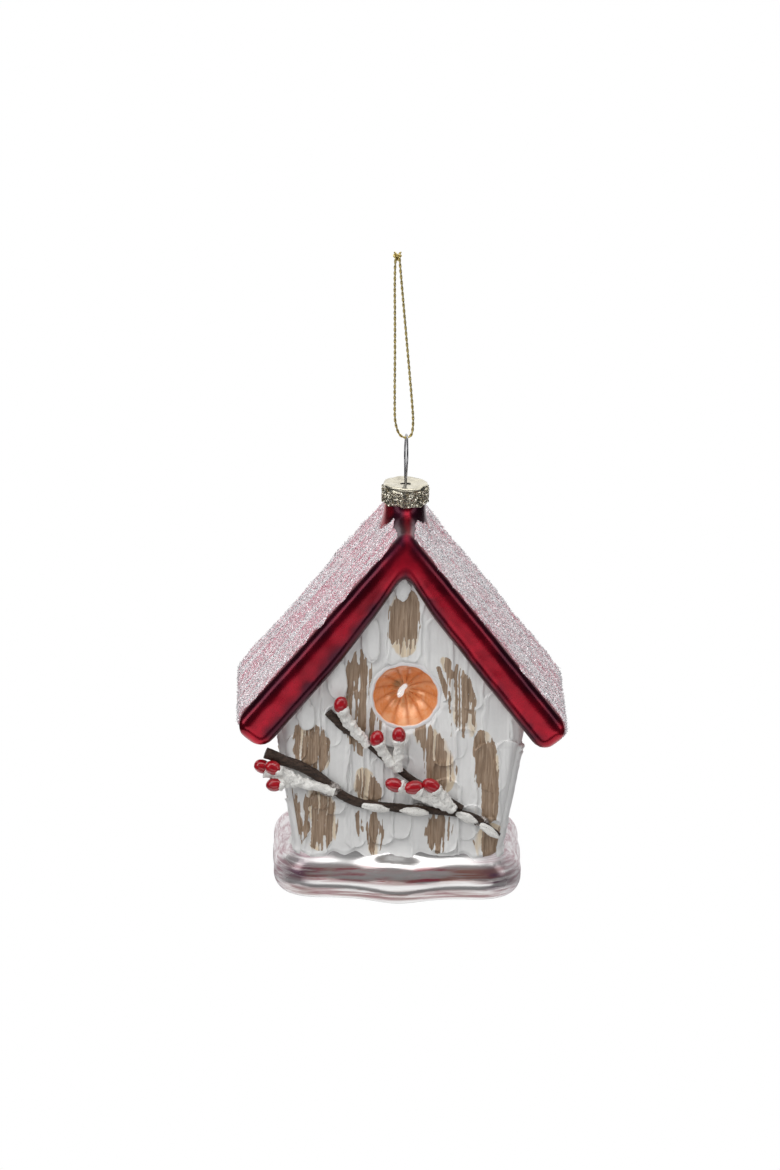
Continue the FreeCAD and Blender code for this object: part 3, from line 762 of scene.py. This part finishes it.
def make_glass():
    points, faces = field_mesh(roof_field, (-47, -27, 40), (47, 27, 113), 0.6)
    roof = new_object("roof_glass", place(points), faces, RED, "glass_body")
    x, y, z = points.T
    # Painted dark reflection: the front band's outer and inner edges are marked to be darkened near-black,
    # fading out towards the eaves.
    offset = (np.abs(x) * SIN + (z - APEX) * COS + 0.5) / (ROOF_HALF_THICK + 0.5)
    uneven = 0.2 * noise(x / 7, y / 7, z / 7, 91) + 0.1 * noise(x / 2, y / 2, z / 2, 92)
    outer, inner = ramp(offset + uneven, 0.15, 0.9), ramp(-offset + 1.6 * uneven, 0.15, 0.8)
    edges = 0.9 * np.maximum(outer, inner)
    edges = edges * (1 - 0.85 * ramp(-offset, 1.25, 1.45)) * ramp(offset, 1.12, 0.98)
    down = np.abs(x) * COS - (z - APEX) * SIN
    edges = edges * ramp(down + 3 * uneven, ROOF_END - 1, ROOF_END - 6)
    front_only = ramp(np.abs(y), 19, 22.5)
    # Painted shade in the neck's throat under the cap, right of its red left side. A narrow stripe near the
    # middle is left lighter as a painted highlight.
    shade = ramp(x + 0.8 * noise(z / 2, y / 3, 0, 93), -4.6, -3.0)
    throat = ramp(z, 98.8, 101.3) * shade * (1 - 0.75 * np.exp(-(((x - 0.6) / 0.9) ** 2)))
    soft = np.exp(-((x / 5) ** 2) - ((z - APEX) / 5.5) ** 2)
    give(roof, pool=np.clip(np.maximum(edges * front_only, 0.95 * throat), 0, 0.94), soft=soft)
    points, faces = field_mesh(lower_field, (-37, -29, -1), (37, 29, 100), 0.65)
    lower = new_object("lower_glass", place(points), faces, SILVER, "glass_body")
    x, y, z = points.T
    uneven = noise(x / 6, y / 6, z / 3, 94)
    frost = np.maximum(ramp(np.abs(x) + 2.5 * uneven, 25, 31), ramp(z, 11.4, 12.8) * ramp(np.abs(x), 14, 27))
    long_streak = layered(x / 12, y / 6, z / 1.1, 95)
    # Two bands round the base at different heights that get the mauve streaks and the painted warm reflection
    # tint.
    band = ramp(np.abs(z - 9.0), 2.6, 1.2) * ramp(np.abs(x), 33, 24)
    low_band = ramp(np.abs(z - 3.6), 2.0, 0.8) * 0.8
    streaked = np.clip(np.maximum(band, low_band) * ramp(long_streak, -0.7, 0.0), 0, 1)
    blotch = np.exp(-(((np.abs(x) - 26.0) / 3.6) ** 2) - ((z - 8.5 + 0.6 * x / 26) / 3.2) ** 2)
    broken = 0.45 + 0.55 * ramp(noise(x / 7, y / 7, z / 0.9, 96), -0.4, 0.3)
    blotch = np.clip(1.3 * blotch * ramp(long_streak, -0.6, 0.1), 0, 1) * ramp(y, 0, -8) * broken
    give(lower, frost=frost * (1 - 0.5 * blotch), streaked=streaked, blotch=blotch)


def make_disc():
    """The dent in the front: petal flutes round a point, and a bright rolled lip."""
    rings, spokes, petals = 70, 340, 13
    reach = np.linspace(0.0, 1.0, rings)[:, None]
    angle = around(spokes)[None, :]
    petal = np.abs(np.sin(angle * petals / 2 + 0.15 * noise(np.cos(angle) * 2, np.sin(angle) * 2, 0, 3)))
    scallop = 1 + 0.022 * petal + 0.02 * noise(np.cos(angle) * 1.5, np.sin(angle) * 1.5, 0, 4)
    radius = reach * 10.2
    rim_at = DISH_RADIUS * scallop
    inside = np.clip(radius / rim_at, 0, 1)
    bowl = DISH_DEEP * (1 - inside**2.2)
    flute = 0.62 * petal**0.7 * np.sin(math.pi * inside**0.8) ** 0.7 * ramp(inside, 0.08, 0.3)
    lip = 0.3 * np.exp(-(((radius - rim_at - 0.5) / 0.5) ** 2))
    outside = np.clip((radius - rim_at - 1.0) / 1.0, 0, 1)
    nub = 0.8 * np.exp(-((radius / 1.9) ** 2))
    forward = bowl - nub - flute * (radius < rim_at) - lip + 0.9 * outside**2
    x, z = DISH_ACROSS + radius * np.cos(angle), DISH_LEVEL + radius * np.sin(angle)
    points = np.stack([x, -WALL_HALF_DEEP - 0.15 + forward, z], -1)
    faces = grid_faces(rings, spokes, wrap=True)[:, ::-1]
    disc = new_object("entrance_disc", place(points), faces, COPPER, "glass_body")
    rim = ramp(radius, rim_at - 0.15, rim_at + 0.15)
    # Painted shade in the grooves between the flutes, fading off at the rim, for the material to darken.
    groove = (1 - petal) ** 2 * ramp(inside, 0.2, 0.75)
    right, up = x - DISH_ACROSS + 0.7, z - DISH_LEVEL + 0.3
    # The painted highlight: a long, tilted white hot spot just left of and below the middle.
    bare = np.exp(-(((right * 0.9 - up * 0.44) / 0.95) ** 2) - ((up * 0.9 + right * 0.44) / 2.1) ** 2)
    bare = bare * (1 + 0.5 * noise(x / 0.9, 0, z / 1.2, 6))
    # The painted shadow: a soft patch above and left of the hot spot.
    smudge = np.exp(-(((right + 1.2) / 1.4) ** 2) - ((up - 1.8) / 1.3) ** 2)
    give(disc, rim=rim, groove=groove * (1 - rim), bare=bare, smudge=smudge)


# ---- relief paint

# Taupe strokes on the front: points down the middle of each (across, up), and its width.
BROWN_FRONT = [
    ([(0.3, 88.3), (0.0, 78), (0.4, 69)], 6.2),
    ([(-11.2, 71), (-11.6, 64), (-12.8, 55), (-11.0, 45), (-9.8, 41)], 5.8),
    ([(-7.4, 55.5), (-6.9, 47.2)], 4.0),
    ([(-25.2, 51.4), (-23.4, 44), (-22.4, 36)], 7.6),
    ([(-29.8, 32), (-29.0, 24), (-26.6, 14.8)], 5.4),
    ([(-21.8, 33), (-21.2, 24), (-20.8, 14.4)], 7.2),
    ([(-9.8, 38), (-8.6, 32), (-7.4, 26)], 5.6),
    ([(-10.6, 25.8), (-9.6, 20), (-8.9, 15.8)], 3.2),
    ([(-6.4, 26), (-5.8, 19), (-6.2, 13.4)], 3.5),
    ([(10.9, 69.2), (14.2, 64.7), (16.6, 56.9), (17.0, 46.5)], 4.8),
    ([(9.3, 66.7), (12.6, 57), (13.4, 47)], 1.5),
    ([(4.8, 51.5), (8.6, 45), (10.8, 38), (11.2, 31)], 6.2),
    ([(21.0, 49), (22.9, 40), (23.4, 30), (22.0, 21)], 5.0),
    ([(11.0, 27), (10.4, 14.0)], 5.8),
    ([(24.0, 23), (23.4, 12.8)], 6.4),
]


def white_strokes(random, half, low, tops):
    """Overlapping upright strokes of paste that cover a wall from side to side."""
    strokes = []
    for row in range(3):
        across = -half - random.uniform(0, 3)
        while across < half + 3:
            width = random.uniform(5.0, 9.0)
            top = tops(across + width / 2)
            start = top - row * (top - low) / 3 + random.uniform(-7, 5)
            length = random.uniform(17, 34)
            lean = random.uniform(-1.0, 1.0)
            line = [(across + width / 2, start), (across + width / 2 + lean, start - length)]
            strokes.append((line, width, random.uniform(0.45, 1.05), False))
            across += width * random.uniform(0.72, 0.95)
    return [strokes[n] for n in random.permutation(len(strokes))]


def brown_strokes(random, half, low, tops, count):
    """Short taupe strokes in two rows, one under the roof and one over the base."""
    strokes = []
    for n in range(count):
        across = -half + (n + random.uniform(0.25, 0.75)) * 2 * half / count
        for start in (tops(across) - random.uniform(2, 8), low + random.uniform(12, 22)):
            length = random.uniform(9, 17)
            end = max(start - length, low + 1)
            line = [(across, start), (across + random.uniform(-1.4, 1.4), end)]
            strokes.append((line, random.uniform(3.0, 6.0), 0.28, True))
    return strokes


def lay_strokes(across, up, strokes, seed):
    """The paste's height and its brown and beige shares at each point, one stroke over another."""
    height = 0.32 + 0.1 * noise(across / 3, up / 8, 0, seed)
    brown, beige = np.zeros_like(across), np.zeros_like(across)
    swept = across + 0.5 * noise(across / 5, up / 7, 0, seed + 5)
    bristle = 0.5 * noise(swept / 0.9, up / 24, 0, seed + 1) + 0.5 * noise(swept / 0.45, up / 15, 3, seed + 2)
    bristle = bristle + 0.1 * noise(across / 0.8, up / 1.2, 6, seed + 8)
    for number, (line, width, thick, is_brown) in enumerate(strokes):
        line = sorted(line, key=lambda spot: spot[1])
        levels, middles = [spot[1] for spot in line], [spot[0] for spot in line]
        wobble = 0.35 * noise(up / 6, number * 3.7, 0, seed + 3)
        side = across - np.interp(up, levels, middles) - wobble
        inner = np.minimum(up - levels[0], levels[-1] - up)
        end = np.clip(inner / (width * 0.45), 0, 1)
        ragged = 0.12 * noise(across / 0.6, up / 2.5, number, seed + 4)
        half = width / 2 * np.sqrt(np.clip(1 - (1 - end) ** 2, 0, 1)) * (1 + ragged)
        if is_brown:
            half = half * (0.8 + 0.3 * ramp(inner, 0, 7))
        share = np.abs(side) / np.maximum(half, 1e-3)
        mask = ramp(share, 1.0, 0.86) * (inner > 0)
        crest = ramp(share, 0.55, 0.88) * 0.4 + ramp(end, 0.75, 0.2) * 0.35
        if is_brown:
            rough_mask = ramp(share + 0.3 * bristle, 1.05, 0.9) * (inner > 0)
            tips = ramp(inner, 0.3, 5.5)
            patch = noise(across / 3.2, up / 6.5, number * 2.3, seed + 6)
            dry = 2.1 * bristle + 0.9 * tips - 0.5 * ramp(share, 0.5, 1.0) + 0.5 * patch + 0.1
            cover = rough_mask * ramp(dry, -0.05, 0.3)
            brown = np.maximum(brown * (1 - 0.4 * mask), cover)
            scratch = noise(swept / 0.4, up / 22, number * 1.7, seed + 9)
            cover = cover * (1 - 0.85 * ramp(scratch, 0.28, 0.45) * ramp(share, 0.15, 0.5))
            beige = np.maximum(beige, ramp(patch, 0.05, -0.4) * 0.9 * mask * (1 - cover) * (number % 3 != 1))
            height = height + mask * (thick * (0.25 + 0.5 * crest) + 0.16 * bristle - 0.1)
        else:
            laid = 0.45 * height + thick * (0.62 + crest) + 0.07 * bristle
            height = height * (1 - mask) + laid * mask
            brown = brown * (1 - mask)
            beige = beige * (1 - mask)
    return height, brown, beige


def wall_strip(name, quarter, columns, rows, seed, brown_list=None):
    """One wall's paint, wrapped half round the corners at its sides. quarter 0 is the front."""
    facing_side = quarter % 2 == 1
    q = np.linspace(-1, 1, columns)[None, :]
    v = np.linspace(0, 1, rows)[:, None]
    arc = WALL_CORNER * math.pi / 4

    def straight_half(z):
        return (WALL_HALF_DEEP + 0 * z if facing_side else wall_half(z)) - WALL_CORNER

    def top_level(z):
        run = np.abs(q) * (straight_half(z) + arc)
        reach = wall_half(z) if facing_side else np.minimum(run, wall_half(z))
        return roof_under(reach) + 1.0

    top = np.full_like(q, 60.0)
    for _ in range(12):
        top = top_level(top)
    low = 13.2 + 0.8 * noise(q * 9, 0, 0, seed)
    z = low + v * (top - low)
    straight = straight_half(z)
    run = q * (straight + arc)
    bend = np.clip((np.abs(run) - straight) / WALL_CORNER, 0, math.pi / 4)
    sign = np.sign(run)
    along = np.where(np.abs(run) <= straight, run, sign * (straight + WALL_CORNER * np.sin(bend)))
    face = wall_half(z) if facing_side else WALL_HALF_DEEP
    out = -(face - WALL_CORNER * (1 - np.cos(bend)))
    flat = np.stack([along, out * np.ones_like(along), z], -1)
    normal = np.stack([sign * np.sin(bend), -np.cos(bend), np.zeros_like(bend)], -1)
    turned = spin(quarter * math.pi / 2).T
    flat, normal = flat @ turned, normal @ turned

    def top_at(x):
        return 50.0 if facing_side else roof_under(abs(x))

    random = np.random.default_rng(seed)
    half, wider, thick = WALL_HALF_DEEP if facing_side else 30.0, 1.22, 0.3
    strokes = white_strokes(random, half, BASE_TALL, top_at)
    if brown_list:
        strokes += [(line, width * wider, thick, True) for line, width in brown_list]
    else:
        strokes += brown_strokes(random, half * 0.85, BASE_TALL, top_at, 4 if facing_side else 5)
        strokes += white_strokes(random, half, BASE_TALL, top_at)[:6]
    height, brown, beige = lay_strokes(run, z, strokes, seed * 7 + 1)

    shell = land(plain_lower_field, flat + normal * 9, -normal, 14.0)
    edge = ramp(np.abs(q), 1.0, 0.95)
    height = height * edge + 0.45 * (1 - edge)
    height = height * ramp(v, 0.0, 0.03) - 0.1 * (1 - ramp(v, 0.0, 0.02))
    sunk = np.zeros_like(height)
    if quarter == 0:
        window = np.hypot(along - DISH_ACROSS, z - DISH_LEVEL)
        ragged = DISH_RADIUS + 0.75 + 0.5 * noise(along / 2.4, z / 2.4, 0, 77)
        height = height * (0.3 + 0.7 * ramp(window, ragged, ragged + 1.4))
        sunk = 9.5 * ramp(window, ragged, ragged - 0.45)
    top_points = shell + normal * (height - sunk)[..., None]
    points, faces = dished_sheet(top_points, -normal * 1.6, np.array([0, 17 - WALL_HALF_DEEP, 45]) @ turned)
    paint = new_object(name, place(points), faces, RELIEF, "wall_paint")
    give(paint, brown=brown, beige=beige)


def make_relief():
    wall_strip("relief_front", 0, 300, 300, 21, BROWN_FRONT)
    wall_strip("relief_right", 1, 190, 150, 22)
    wall_strip("relief_back", 2, 230, 230, 23)
    wall_strip("relief_left", 3, 190, 150, 24)


# ---- roof snow


def flakes(centres, normals, size, seed):
    """Tiny four-cornered flakes, each tipped its own way, as points and quads."""
    random = np.random.default_rng(seed)
    count = len(centres)
    tip = normals + random.normal(0, 0.55, (count, 3))
    tip /= np.linalg.norm(tip, axis=1)[:, None]
    side = np.cross(tip, random.normal(0, 1, (count, 3)))
    side /= np.linalg.norm(side, axis=1)[:, None]
    up = np.cross(tip, side)
    half = (size * random.uniform(0.6, 1.1, count) / 2)[:, None]
    corners = [side * half, up * half, -side * half, -up * half]
    points = np.stack([centres + corner for corner in corners], 1).reshape(-1, 3)
    return points, np.arange(count * 4).reshape(-1, 4)


def roof_crust(side):
    """The crust on one slope, laid on the glass, thick in long streaks down the slope."""
    name = "right" if side > 0 else "left"
    rows, columns = 190, 150
    straight = ROOF_END - ROOF_HALF_THICK
    down = np.linspace(-1.5, straight + ROOF_HALF_THICK * 1.45, rows)[:, None]
    deep = np.linspace(-ROOF_HALF_DEEP + 0.2, ROOF_HALF_DEEP - 0.2, columns)[None, :]
    ones = np.ones((rows, columns))
    turn = np.clip((down - straight) / ROOF_HALF_THICK, 0, 2) * ones
    slope, upright = np.array([side * COS, 0, -SIN]), np.array([side * SIN, 0, COS])
    normal = np.cos(turn)[..., None] * upright + np.sin(turn)[..., None] * slope
    middle = np.minimum(down, straight)
    plane = np.stack([side * middle * COS * ones, deep * ones, (APEX - middle * SIN) * ones], -1)
    seed = 40 + side
    glass = land(roof_field, plane + normal * (ROOF_HALF_THICK + 6), -normal, 10.0)
    across = np.abs(glass[..., 0])
    ragged = 0.9 * noise(down / 3, deep / 3, 0, seed) + 0.5 * noise(down / 1.1, deep / 1.1, 0, seed + 1)
    from_front = ROOF_HALF_DEEP - np.abs(deep) - 2.5 + ragged * 0.8
    from_eave = down[-1] - down - 1.4 + ragged
    from_ridge = across - 0.9 + ragged * 0.7
    reach = np.hypot(glass[..., 0], glass[..., 1])
    bare_nose = 6.0 - np.hypot(glass[..., 0] * 2.2, (glass[..., 1] + 9) * 0.6)
    from_neck = np.minimum(reach - 6.3 + ragged * 0.5, -bare_nose + ragged)
    mask = ramp(np.minimum.reduce([from_front, from_eave, from_ridge, from_neck]), -0.2, 0.9)
    bent = deep + 1.5 * noise(down / 14, deep / 9, 0, seed + 5)
    streak = layered(down / 15, bent / 2.0, 0, seed + 2)
    lumps = layered(down / 3.0, deep / 1.6, 1, seed + 3)
    grit = noise(down / 0.5, deep / 0.5, 2, seed + 4)
    thick = np.clip(0.48 + 0.1 * side + 0.75 * streak + 0.45 * lumps, 0, 1)
    height = -0.35 + mask * (0.45 + 0.5 * thick + 0.1 * grit)
    top = glass + normal * height[..., None]
    points, faces = closed_sheet(top, glass - normal * 0.8)
    if side < 0:
        faces = faces[:, ::-1]
    node = f"roof_snow_{name}"
    crust = new_object(f"crust_{name}", place(points), faces, CRUST, node)
    give(crust, thick=thick * mask)

    random = np.random.default_rng(seed + 9)
    weight = (mask * (0.25 + thick)).ravel()
    picked = random.choice(weight.size, 24000, p=weight / weight.sum())
    spread = random.normal(0, 0.16, (len(picked), 3))
    out = normal.reshape(-1, 3)[picked]
    centres = top.reshape(-1, 3)[picked] + spread * [1, 1, 0.3] + out * 0.05
    points, faces = flakes(centres, out, 0.36, seed + 10)
    new_object(f"glitter_{name}", place(points), faces, FLAKE, node, smooth=False)


# ---- cap and wire


def make_cap():
    """Crimped foil cap: a dished top, a rolled rim, a gritty band and a scalloped hem."""
    low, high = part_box("cap")
    centre = np.array([(low.x + high.x) / 2, (low.y + high.y) / 2, 0])
    top, bottom, radius = high.z / MM, low.z / MM, (high.x - low.x) / 2 / MM
    spokes, scallops, sheet, drawn_radius = 192, 8, 0.3, 6.1
    angle = around(spokes)
    hem = 0.55 * np.abs(np.sin(angle * scallops / 2)) ** 1.3
    outline = [(0.0, -0.25), (1.6, -0.28), (3.4, -0.2), (4.6, -0.02), (5.3, 0.02), (5.75, -0.12)]
    outline += [(5.95, -0.5), (5.5, -0.9), (5.85, -1.25), (6.02, -1.7), (6.05, -2.6), (6.08, -3.6)]
    outline += [(6.1, -4.4), (6.1, -5.0)]
    rows = [(reach * radius / drawn_radius, level, 0) for reach, level in outline]
    inner = [(reach - sheet, level, 0) for reach, level, _ in rows[:3:-1]]
    rows += [(radius, bottom - top, 1), (radius - sheet, bottom - top, 1)]
    points = []
    for reach, level, edge in rows + inner + [(2.0, -0.6, 0), (0.0, -0.6, 0)]:
        across, back = np.cos(angle), np.sin(angle)
        dent = 0.3 * noise(across * 2.2, back * 2.2, level * 0.6, 61) * min(1.0, reach / 4)
        size = max(reach, 0.01) + dent * 0.5
        height = top + level + 0.2 * noise(across * reach / 1.6, back * reach / 1.6, 3, 62) + edge * hem
        points.append(np.stack([size * across, size * back, height], 1))
    faces = grid_faces(len(points), spokes, wrap=True)[:, ::-1]
    points = np.concatenate(points) * MM + centre
    new_object("cap_foil", points, faces, CAP_METAL, "cap", "cap")

    # Painted shade: two near-black flat lenses on the cap's top stand for the shade seen through its slits.
    for n, (x, y, turn) in enumerate([(-0.75, -0.3, 0.5), (0.75, -0.15, -0.3)], start=1):
        points, faces = ball(12, 16)
        points = ((points * (0.75, 0.4, 0.12)) @ spin(turn).T + (x, y, top - 0.17)) * MM + centre
        new_object(f"cap_slit_{n}", points, faces, SLIT, "cap", "cap")

    random = np.random.default_rng(63)
    count = 2600
    turn, level = random.uniform(0, FULL_TURN, count), random.uniform(-5.2, -1.2, count)
    out = np.stack([np.cos(turn), np.sin(turn), np.zeros(count)], 1)
    spots = out * (radius + random.uniform(-0.1, 0.12, count))[:, None]
    spots[:, 2] = top + level + 0.5 * (np.abs(np.sin(turn * scallops / 2)) ** 1.3) * (level < -4)
    points, faces = flakes(spots * MM + centre, out, 0.55 * MM, 64)
    new_object("cap_glitter", points, faces, CAP_GRIT, "cap", "cap", smooth=False)


# ---- twigs, berries, snow and glue

TWIG_DEEP, UPPER_DEEP, STEM_DEEP, BERRY_DEEP = -21.6, -21.25, -23.05, -24.05
LOWER_TWIG = [(-35.7, 42.2), (-25.1, 38.1), (-18.7, 33.3), (-13.0, 28.6), (-0.4, 27.3), (8.5, 26.8)]
LOWER_TWIG += [(18, 26), (22.5, 23.5), (26.4, 20)]
UPPER_TWIG = [(-19.4, 53.9), (-15.8, 49.3), (-9.2, 45.6), (-2.2, 39.3), (2.6, 35.2), (10.4, 31), (16.6, 27.4)]
UPPER_SPUR = [(-14.5, 48.3), (-16.3, 50.9), (-16.8, 53.3)]
# Each pick's berries (across, up, tilt in degrees, how far back), then its stems (across, up).
PICKS = {
    "left": (
        [(-33.7, 38.9, 112, 0), (-36.5, 38.2, 112, 2.8), (-33.2, 34.2, 80, 0)],
        [
            [(-33.2, 38.2), (-31.2, 37), (-26.5, 34.9)],
            [(-35.8, 37.6), (-32.2, 36.2), (-26.5, 34.9)],
            [(-32.4, 34.2), (-29.6, 34.3), (-26.5, 34.9), (-17.4, 32)],
        ],
    ),
    "high": (
        [(-16.2, 56.8, 10, 0)],
        [[(-16.1, 55.6), (-14.7, 52.2), (-11.4, 48.4), (-8.8, 45.2)]],
    ),
    "middle": (
        [(-6.5, 47.5, 10, 0), (-0.75, 48.5, 0, 0)],
        [
            [(-6.4, 46.6), (-5, 43.2), (-0.6, 38.2)],
            [(-0.8, 47.6), (-0.9, 44), (-0.6, 38.2)],
        ],
    ),
    "low": (
        [(-1.45, 34.6, 110, 0), (3.6, 34.0, 80, 0), (8.3, 34.5, 120, 0)],
        [
            [(-0.4, 34.2), (4.4, 32), (14.4, 27.5)],
            [(4.9, 33.6), (8.2, 31.3), (14.4, 27.5)],
            [(8.6, 34), (11.5, 31), (14.4, 27.5)],
        ],
    ),
}
# Across, up, half length and tilt of each patch of snow; the paste's lobes and the glue dabs below
# have their half width and half height, and the lobes a tilt.
TWIG_SNOW = [(-6.4, 27.6, 3.6, -8), (3.9, 26.7, 3.5, -5), (17.9, 25.2, 3.1, -24), (23.9, 21.6, 2.9, -36)]
EDGE_LUMPS = [(-0.6, 88.2, 2.0, 3.2, 0), (-8.6, 74.4, 2.5, 6.6, -4), (-17.4, 62.6, 2.7, 6.0, -6)]
EDGE_LUMPS += [(-25.2, 52.6, 2.4, 4.6, -6)]
GLUE_DABS = [(-18.4, 32.4, 2.4, 1.9), (5, 27.2, 2, 1.3), (21.6, 23.6, 1.8, 1.3)]


def twig_part(flat, deep, start, end, seed):
    """One length of twig: it wanders a little, has buds and bark ridges, and tapers."""
    step, crook = 0.3, 0.25
    route = np.array([(x, deep, z) for x, z in flat])
    path, length = curve_through(route, max(int(run_along(route)[-1] / step), 12))
    t = np.linspace(0, 1, len(path))
    path[:, 2] += crook * noise(t * length / 5, 0, 0, seed)
    path[:, 1] += crook * 0.5 * noise(t * length / 5, 4, 0, seed)

    def knobbly(share, angle):
        run = share * length
        ridges = 0.07 * noise(run / 3, np.cos(angle) * 2.2, np.sin(angle) * 2.2, seed + 1)
        fine = 0.06 * noise(run / 0.5, np.cos(angle) * 4, np.sin(angle) * 4, seed + 2)
        buds = 0.22 * np.clip(noise(run / 2.6, np.cos(angle), np.sin(angle), seed + 3) - 0.35, 0, 1)
        return 1 + ridges + fine + buds

    points, faces = tube(path, start + (end - start) * t, 24, knobbly)
    return place(points), faces


def make_twigs():
    parts = [twig_part(LOWER_TWIG, TWIG_DEEP, 1.45, 0.85, 71)]
    tube_object("lower_twig_bark", parts, BARK, "lower_twig")
    parts = [twig_part(UPPER_TWIG, UPPER_DEEP, 1.1, 0.85, 74)]
    parts += [twig_part(UPPER_SPUR, UPPER_DEEP, 0.8, 0.7, 77)]
    tube_object("upper_twig_bark", parts, BARK, "upper_twig")


def lumpy(name, centre, halves, tilt, seed, rough, material, slot, node):
    """A rounded lump of paste or a berry: a ball with its three half sizes, tilted, then roughened."""
    points, faces = ball()
    swell = 1 + rough * layered(points[:, 0] * 1.6 + seed, points[:, 1] * 1.6, points[:, 2] * 1.6, seed)
    angle = math.radians(tilt)
    c, s = math.cos(angle), math.sin(angle)
    lean = np.array([[c, 0, s], [0, 1, 0], [-s, 0, c]])
    points = (points * swell[:, None] * np.array(halves)) @ lean.T + np.array(centre)
    new_object(name, place(points), faces, material, node)


def snow_lump(name, centre, halves, tilt, seed, rough, node):
    lumpy(name, centre, halves, tilt, seed, rough, SNOW, "snow_paste", node)


def snowy_stem(flat, seed, thick):
    """One berry's stem in lumpy paste, thickest at the berry's end and along its middle."""
    route = np.array([(x, STEM_DEEP, z) for x, z in flat])
    route[0, 1] = BERRY_DEEP + 0.6
    path, length = curve_through(route, 60)
    t = np.linspace(0, 1, len(path))

    def pasty(share, angle):
        return 1 + 0.55 * layered(share * length / 1.1, np.cos(angle) * 1.5, np.sin(angle) * 1.5, seed)

    radius = thick + 0.25 * np.sin(math.pi * np.clip(t * 1.1, 0, 1)) + 0.2 * ramp(t, 0.2, 0.0)
    points, faces = tube(path, radius, 28, pasty)
    return place(points), faces


def make_picks():
    for order, (name, (berries, stem_lines)) in enumerate(PICKS.items()):
        thick = 1.25 if name in ("high", "low") else 1.1
        tubes = [snowy_stem(line, 100 + order * 10 + n, thick) for n, line in enumerate(stem_lines)]
        stems = f"{name}_stems"
        tube_object(f"{stems}_snow", tubes, SNOW, stems)
        for n, (x, z, tilt, back) in enumerate(berries, start=1):
            node, seed, deep = f"{name}_berry_{n}", order * 5 + n, BERRY_DEEP + back
            away = np.array(stem_lines[n - 1][1]) - (x, z)
            away = away / np.hypot(*away)
            cup = (x + 1.55 * away[0], deep + 0.1, z + 1.55 * away[1])
            turn = math.degrees(math.atan2(away[0], away[1]))
            snow_lump(f"{node}_cup", cup, (1.8, 1.75, 1.35), turn, 150 + seed, 0.3, stems)
            halves = (1.85, 1.8, 2.7 if name == "low" else 2.3)
            skin = (f"{node}_skin", (x, deep, z), halves, tilt, 130 + seed, 0.035)
            lumpy(*skin, BERRY, "berry_lacquer", node)


def make_snow_and_glue():
    for n, (x, z, half, tilt) in enumerate(TWIG_SNOW, start=1):
        node, halves = f"twig_snow_{n}", (half * 1.05, 0.85, 1.15)
        snow_lump(f"{node}_paste", (x, -22.75, z), halves, -tilt, 150 + n, 0.34, node)
    for n, (x, z, wide, tall) in enumerate(GLUE_DABS, start=1):
        node, centre = f"glue_dab_{n}", (x, -22.0 if n == 1 else -20.9, z)
        lumpy(f"{node}_drop", centre, (wide + 0.4, 1.35, tall), 0, 160 + n, 0.3, GLUE, "glue", node)


def make_edge_paste():
    """Lumps of paste pushed up in to the corner under the roof, at the gable's top and on its left."""
    for n, (x, z, wide, tall, tilt) in enumerate(EDGE_LUMPS, start=1):
        lump = (f"edge_paste_{n}", (x, -20.7, z), (wide, 0.6, tall), tilt, 170 + n, 0.3)
        lumpy(*lump, RELIEF, "relief_paint", "wall_paint")


# ---- stage


# Each soft box or card: azimuth and elevation in degrees, distance, size, glow, seen in mirrors or not.
LIGHTS = {
    "wall_card": (180, 12, 1.3, (3.2, 1.7), 1.0, True),
    "table_card": (180, -82, 0.8, (1.9, 1.5), 1.0, True),
    "table_glow": (0, -25, 1.0, (1.6, 0.32), 1.15, True),
    "top_box": (0, 74, 1.0, (1.5, 0.56), 2.2, True),
    "back_box": (180, 70, 1.0, (1.5, 0.66), 1.3, True),
    "left_box": (-62, 24, 1.0, (0.35, 0.7), 2.4, True),
    "right_box": (66, 20, 1.0, (0.3, 0.7), 1.6, True),
    "left_fill": (-40, 38, 1.1, (0.7, 0.5), 3.3, False),
    "front_fill": (22, 24, 1.4, (0.7, 0.5), 2.5, False),
}


def area_light(name, azimuth, elevation, distance, size, glow, mirrored):
    """A soft box that faces the ornament; glow is its brightness."""
    data = bpy.data.lights.new(name, "AREA")
    data.shape, data.size, data.size_y = "RECTANGLE", size[0], size[1]
    data.energy = glow * size[0] * size[1] * math.pi
    lamp = bpy.data.objects.new(name, data)
    aim(lamp, [0, 0, 55], azimuth, elevation, distance)
    lamp.visible_camera = False
    lamp.visible_glossy = mirrored


def make_stage():
    """A white surround that only the camera sees, and the soft boxes and cards that light and mirror."""
    world = bpy.data.worlds.new("studio")
    world.use_nodes = True
    nodes, links = world.node_tree.nodes, world.node_tree.links
    dim = nodes["Background"]
    dim.inputs["Color"].default_value = (0.9, 0.93, 1.0, 1)
    dim.inputs["Strength"].default_value = 0.06
    white = nodes.new("ShaderNodeBackground")
    white.inputs["Color"].default_value = (1, 1, 1, 1)
    ray, mix = nodes.new("ShaderNodeLightPath"), nodes.new("ShaderNodeMixShader")
    links.new(ray.outputs["Is Camera Ray"], mix.inputs[0])
    links.new(dim.outputs[0], mix.inputs[1])
    links.new(white.outputs[0], mix.inputs[2])
    links.new(mix.outputs[0], nodes["World Output"].inputs["Surface"])
    bpy.context.scene.world = world
    for name, settings in LIGHTS.items():
        area_light(name, *settings)


make_camera()
make_cord()
make_glass()
make_disc()
make_relief()
roof_crust(-1)
roof_crust(1)
make_cap()
make_twigs()
make_picks()
make_snow_and_glue()
make_edge_paste()
make_stage()
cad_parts["hanger_wire"].data.materials.clear()
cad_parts["hanger_wire"].data.materials.append(WIRE)
bpy.context.scene.view_settings.view_transform = "Standard"
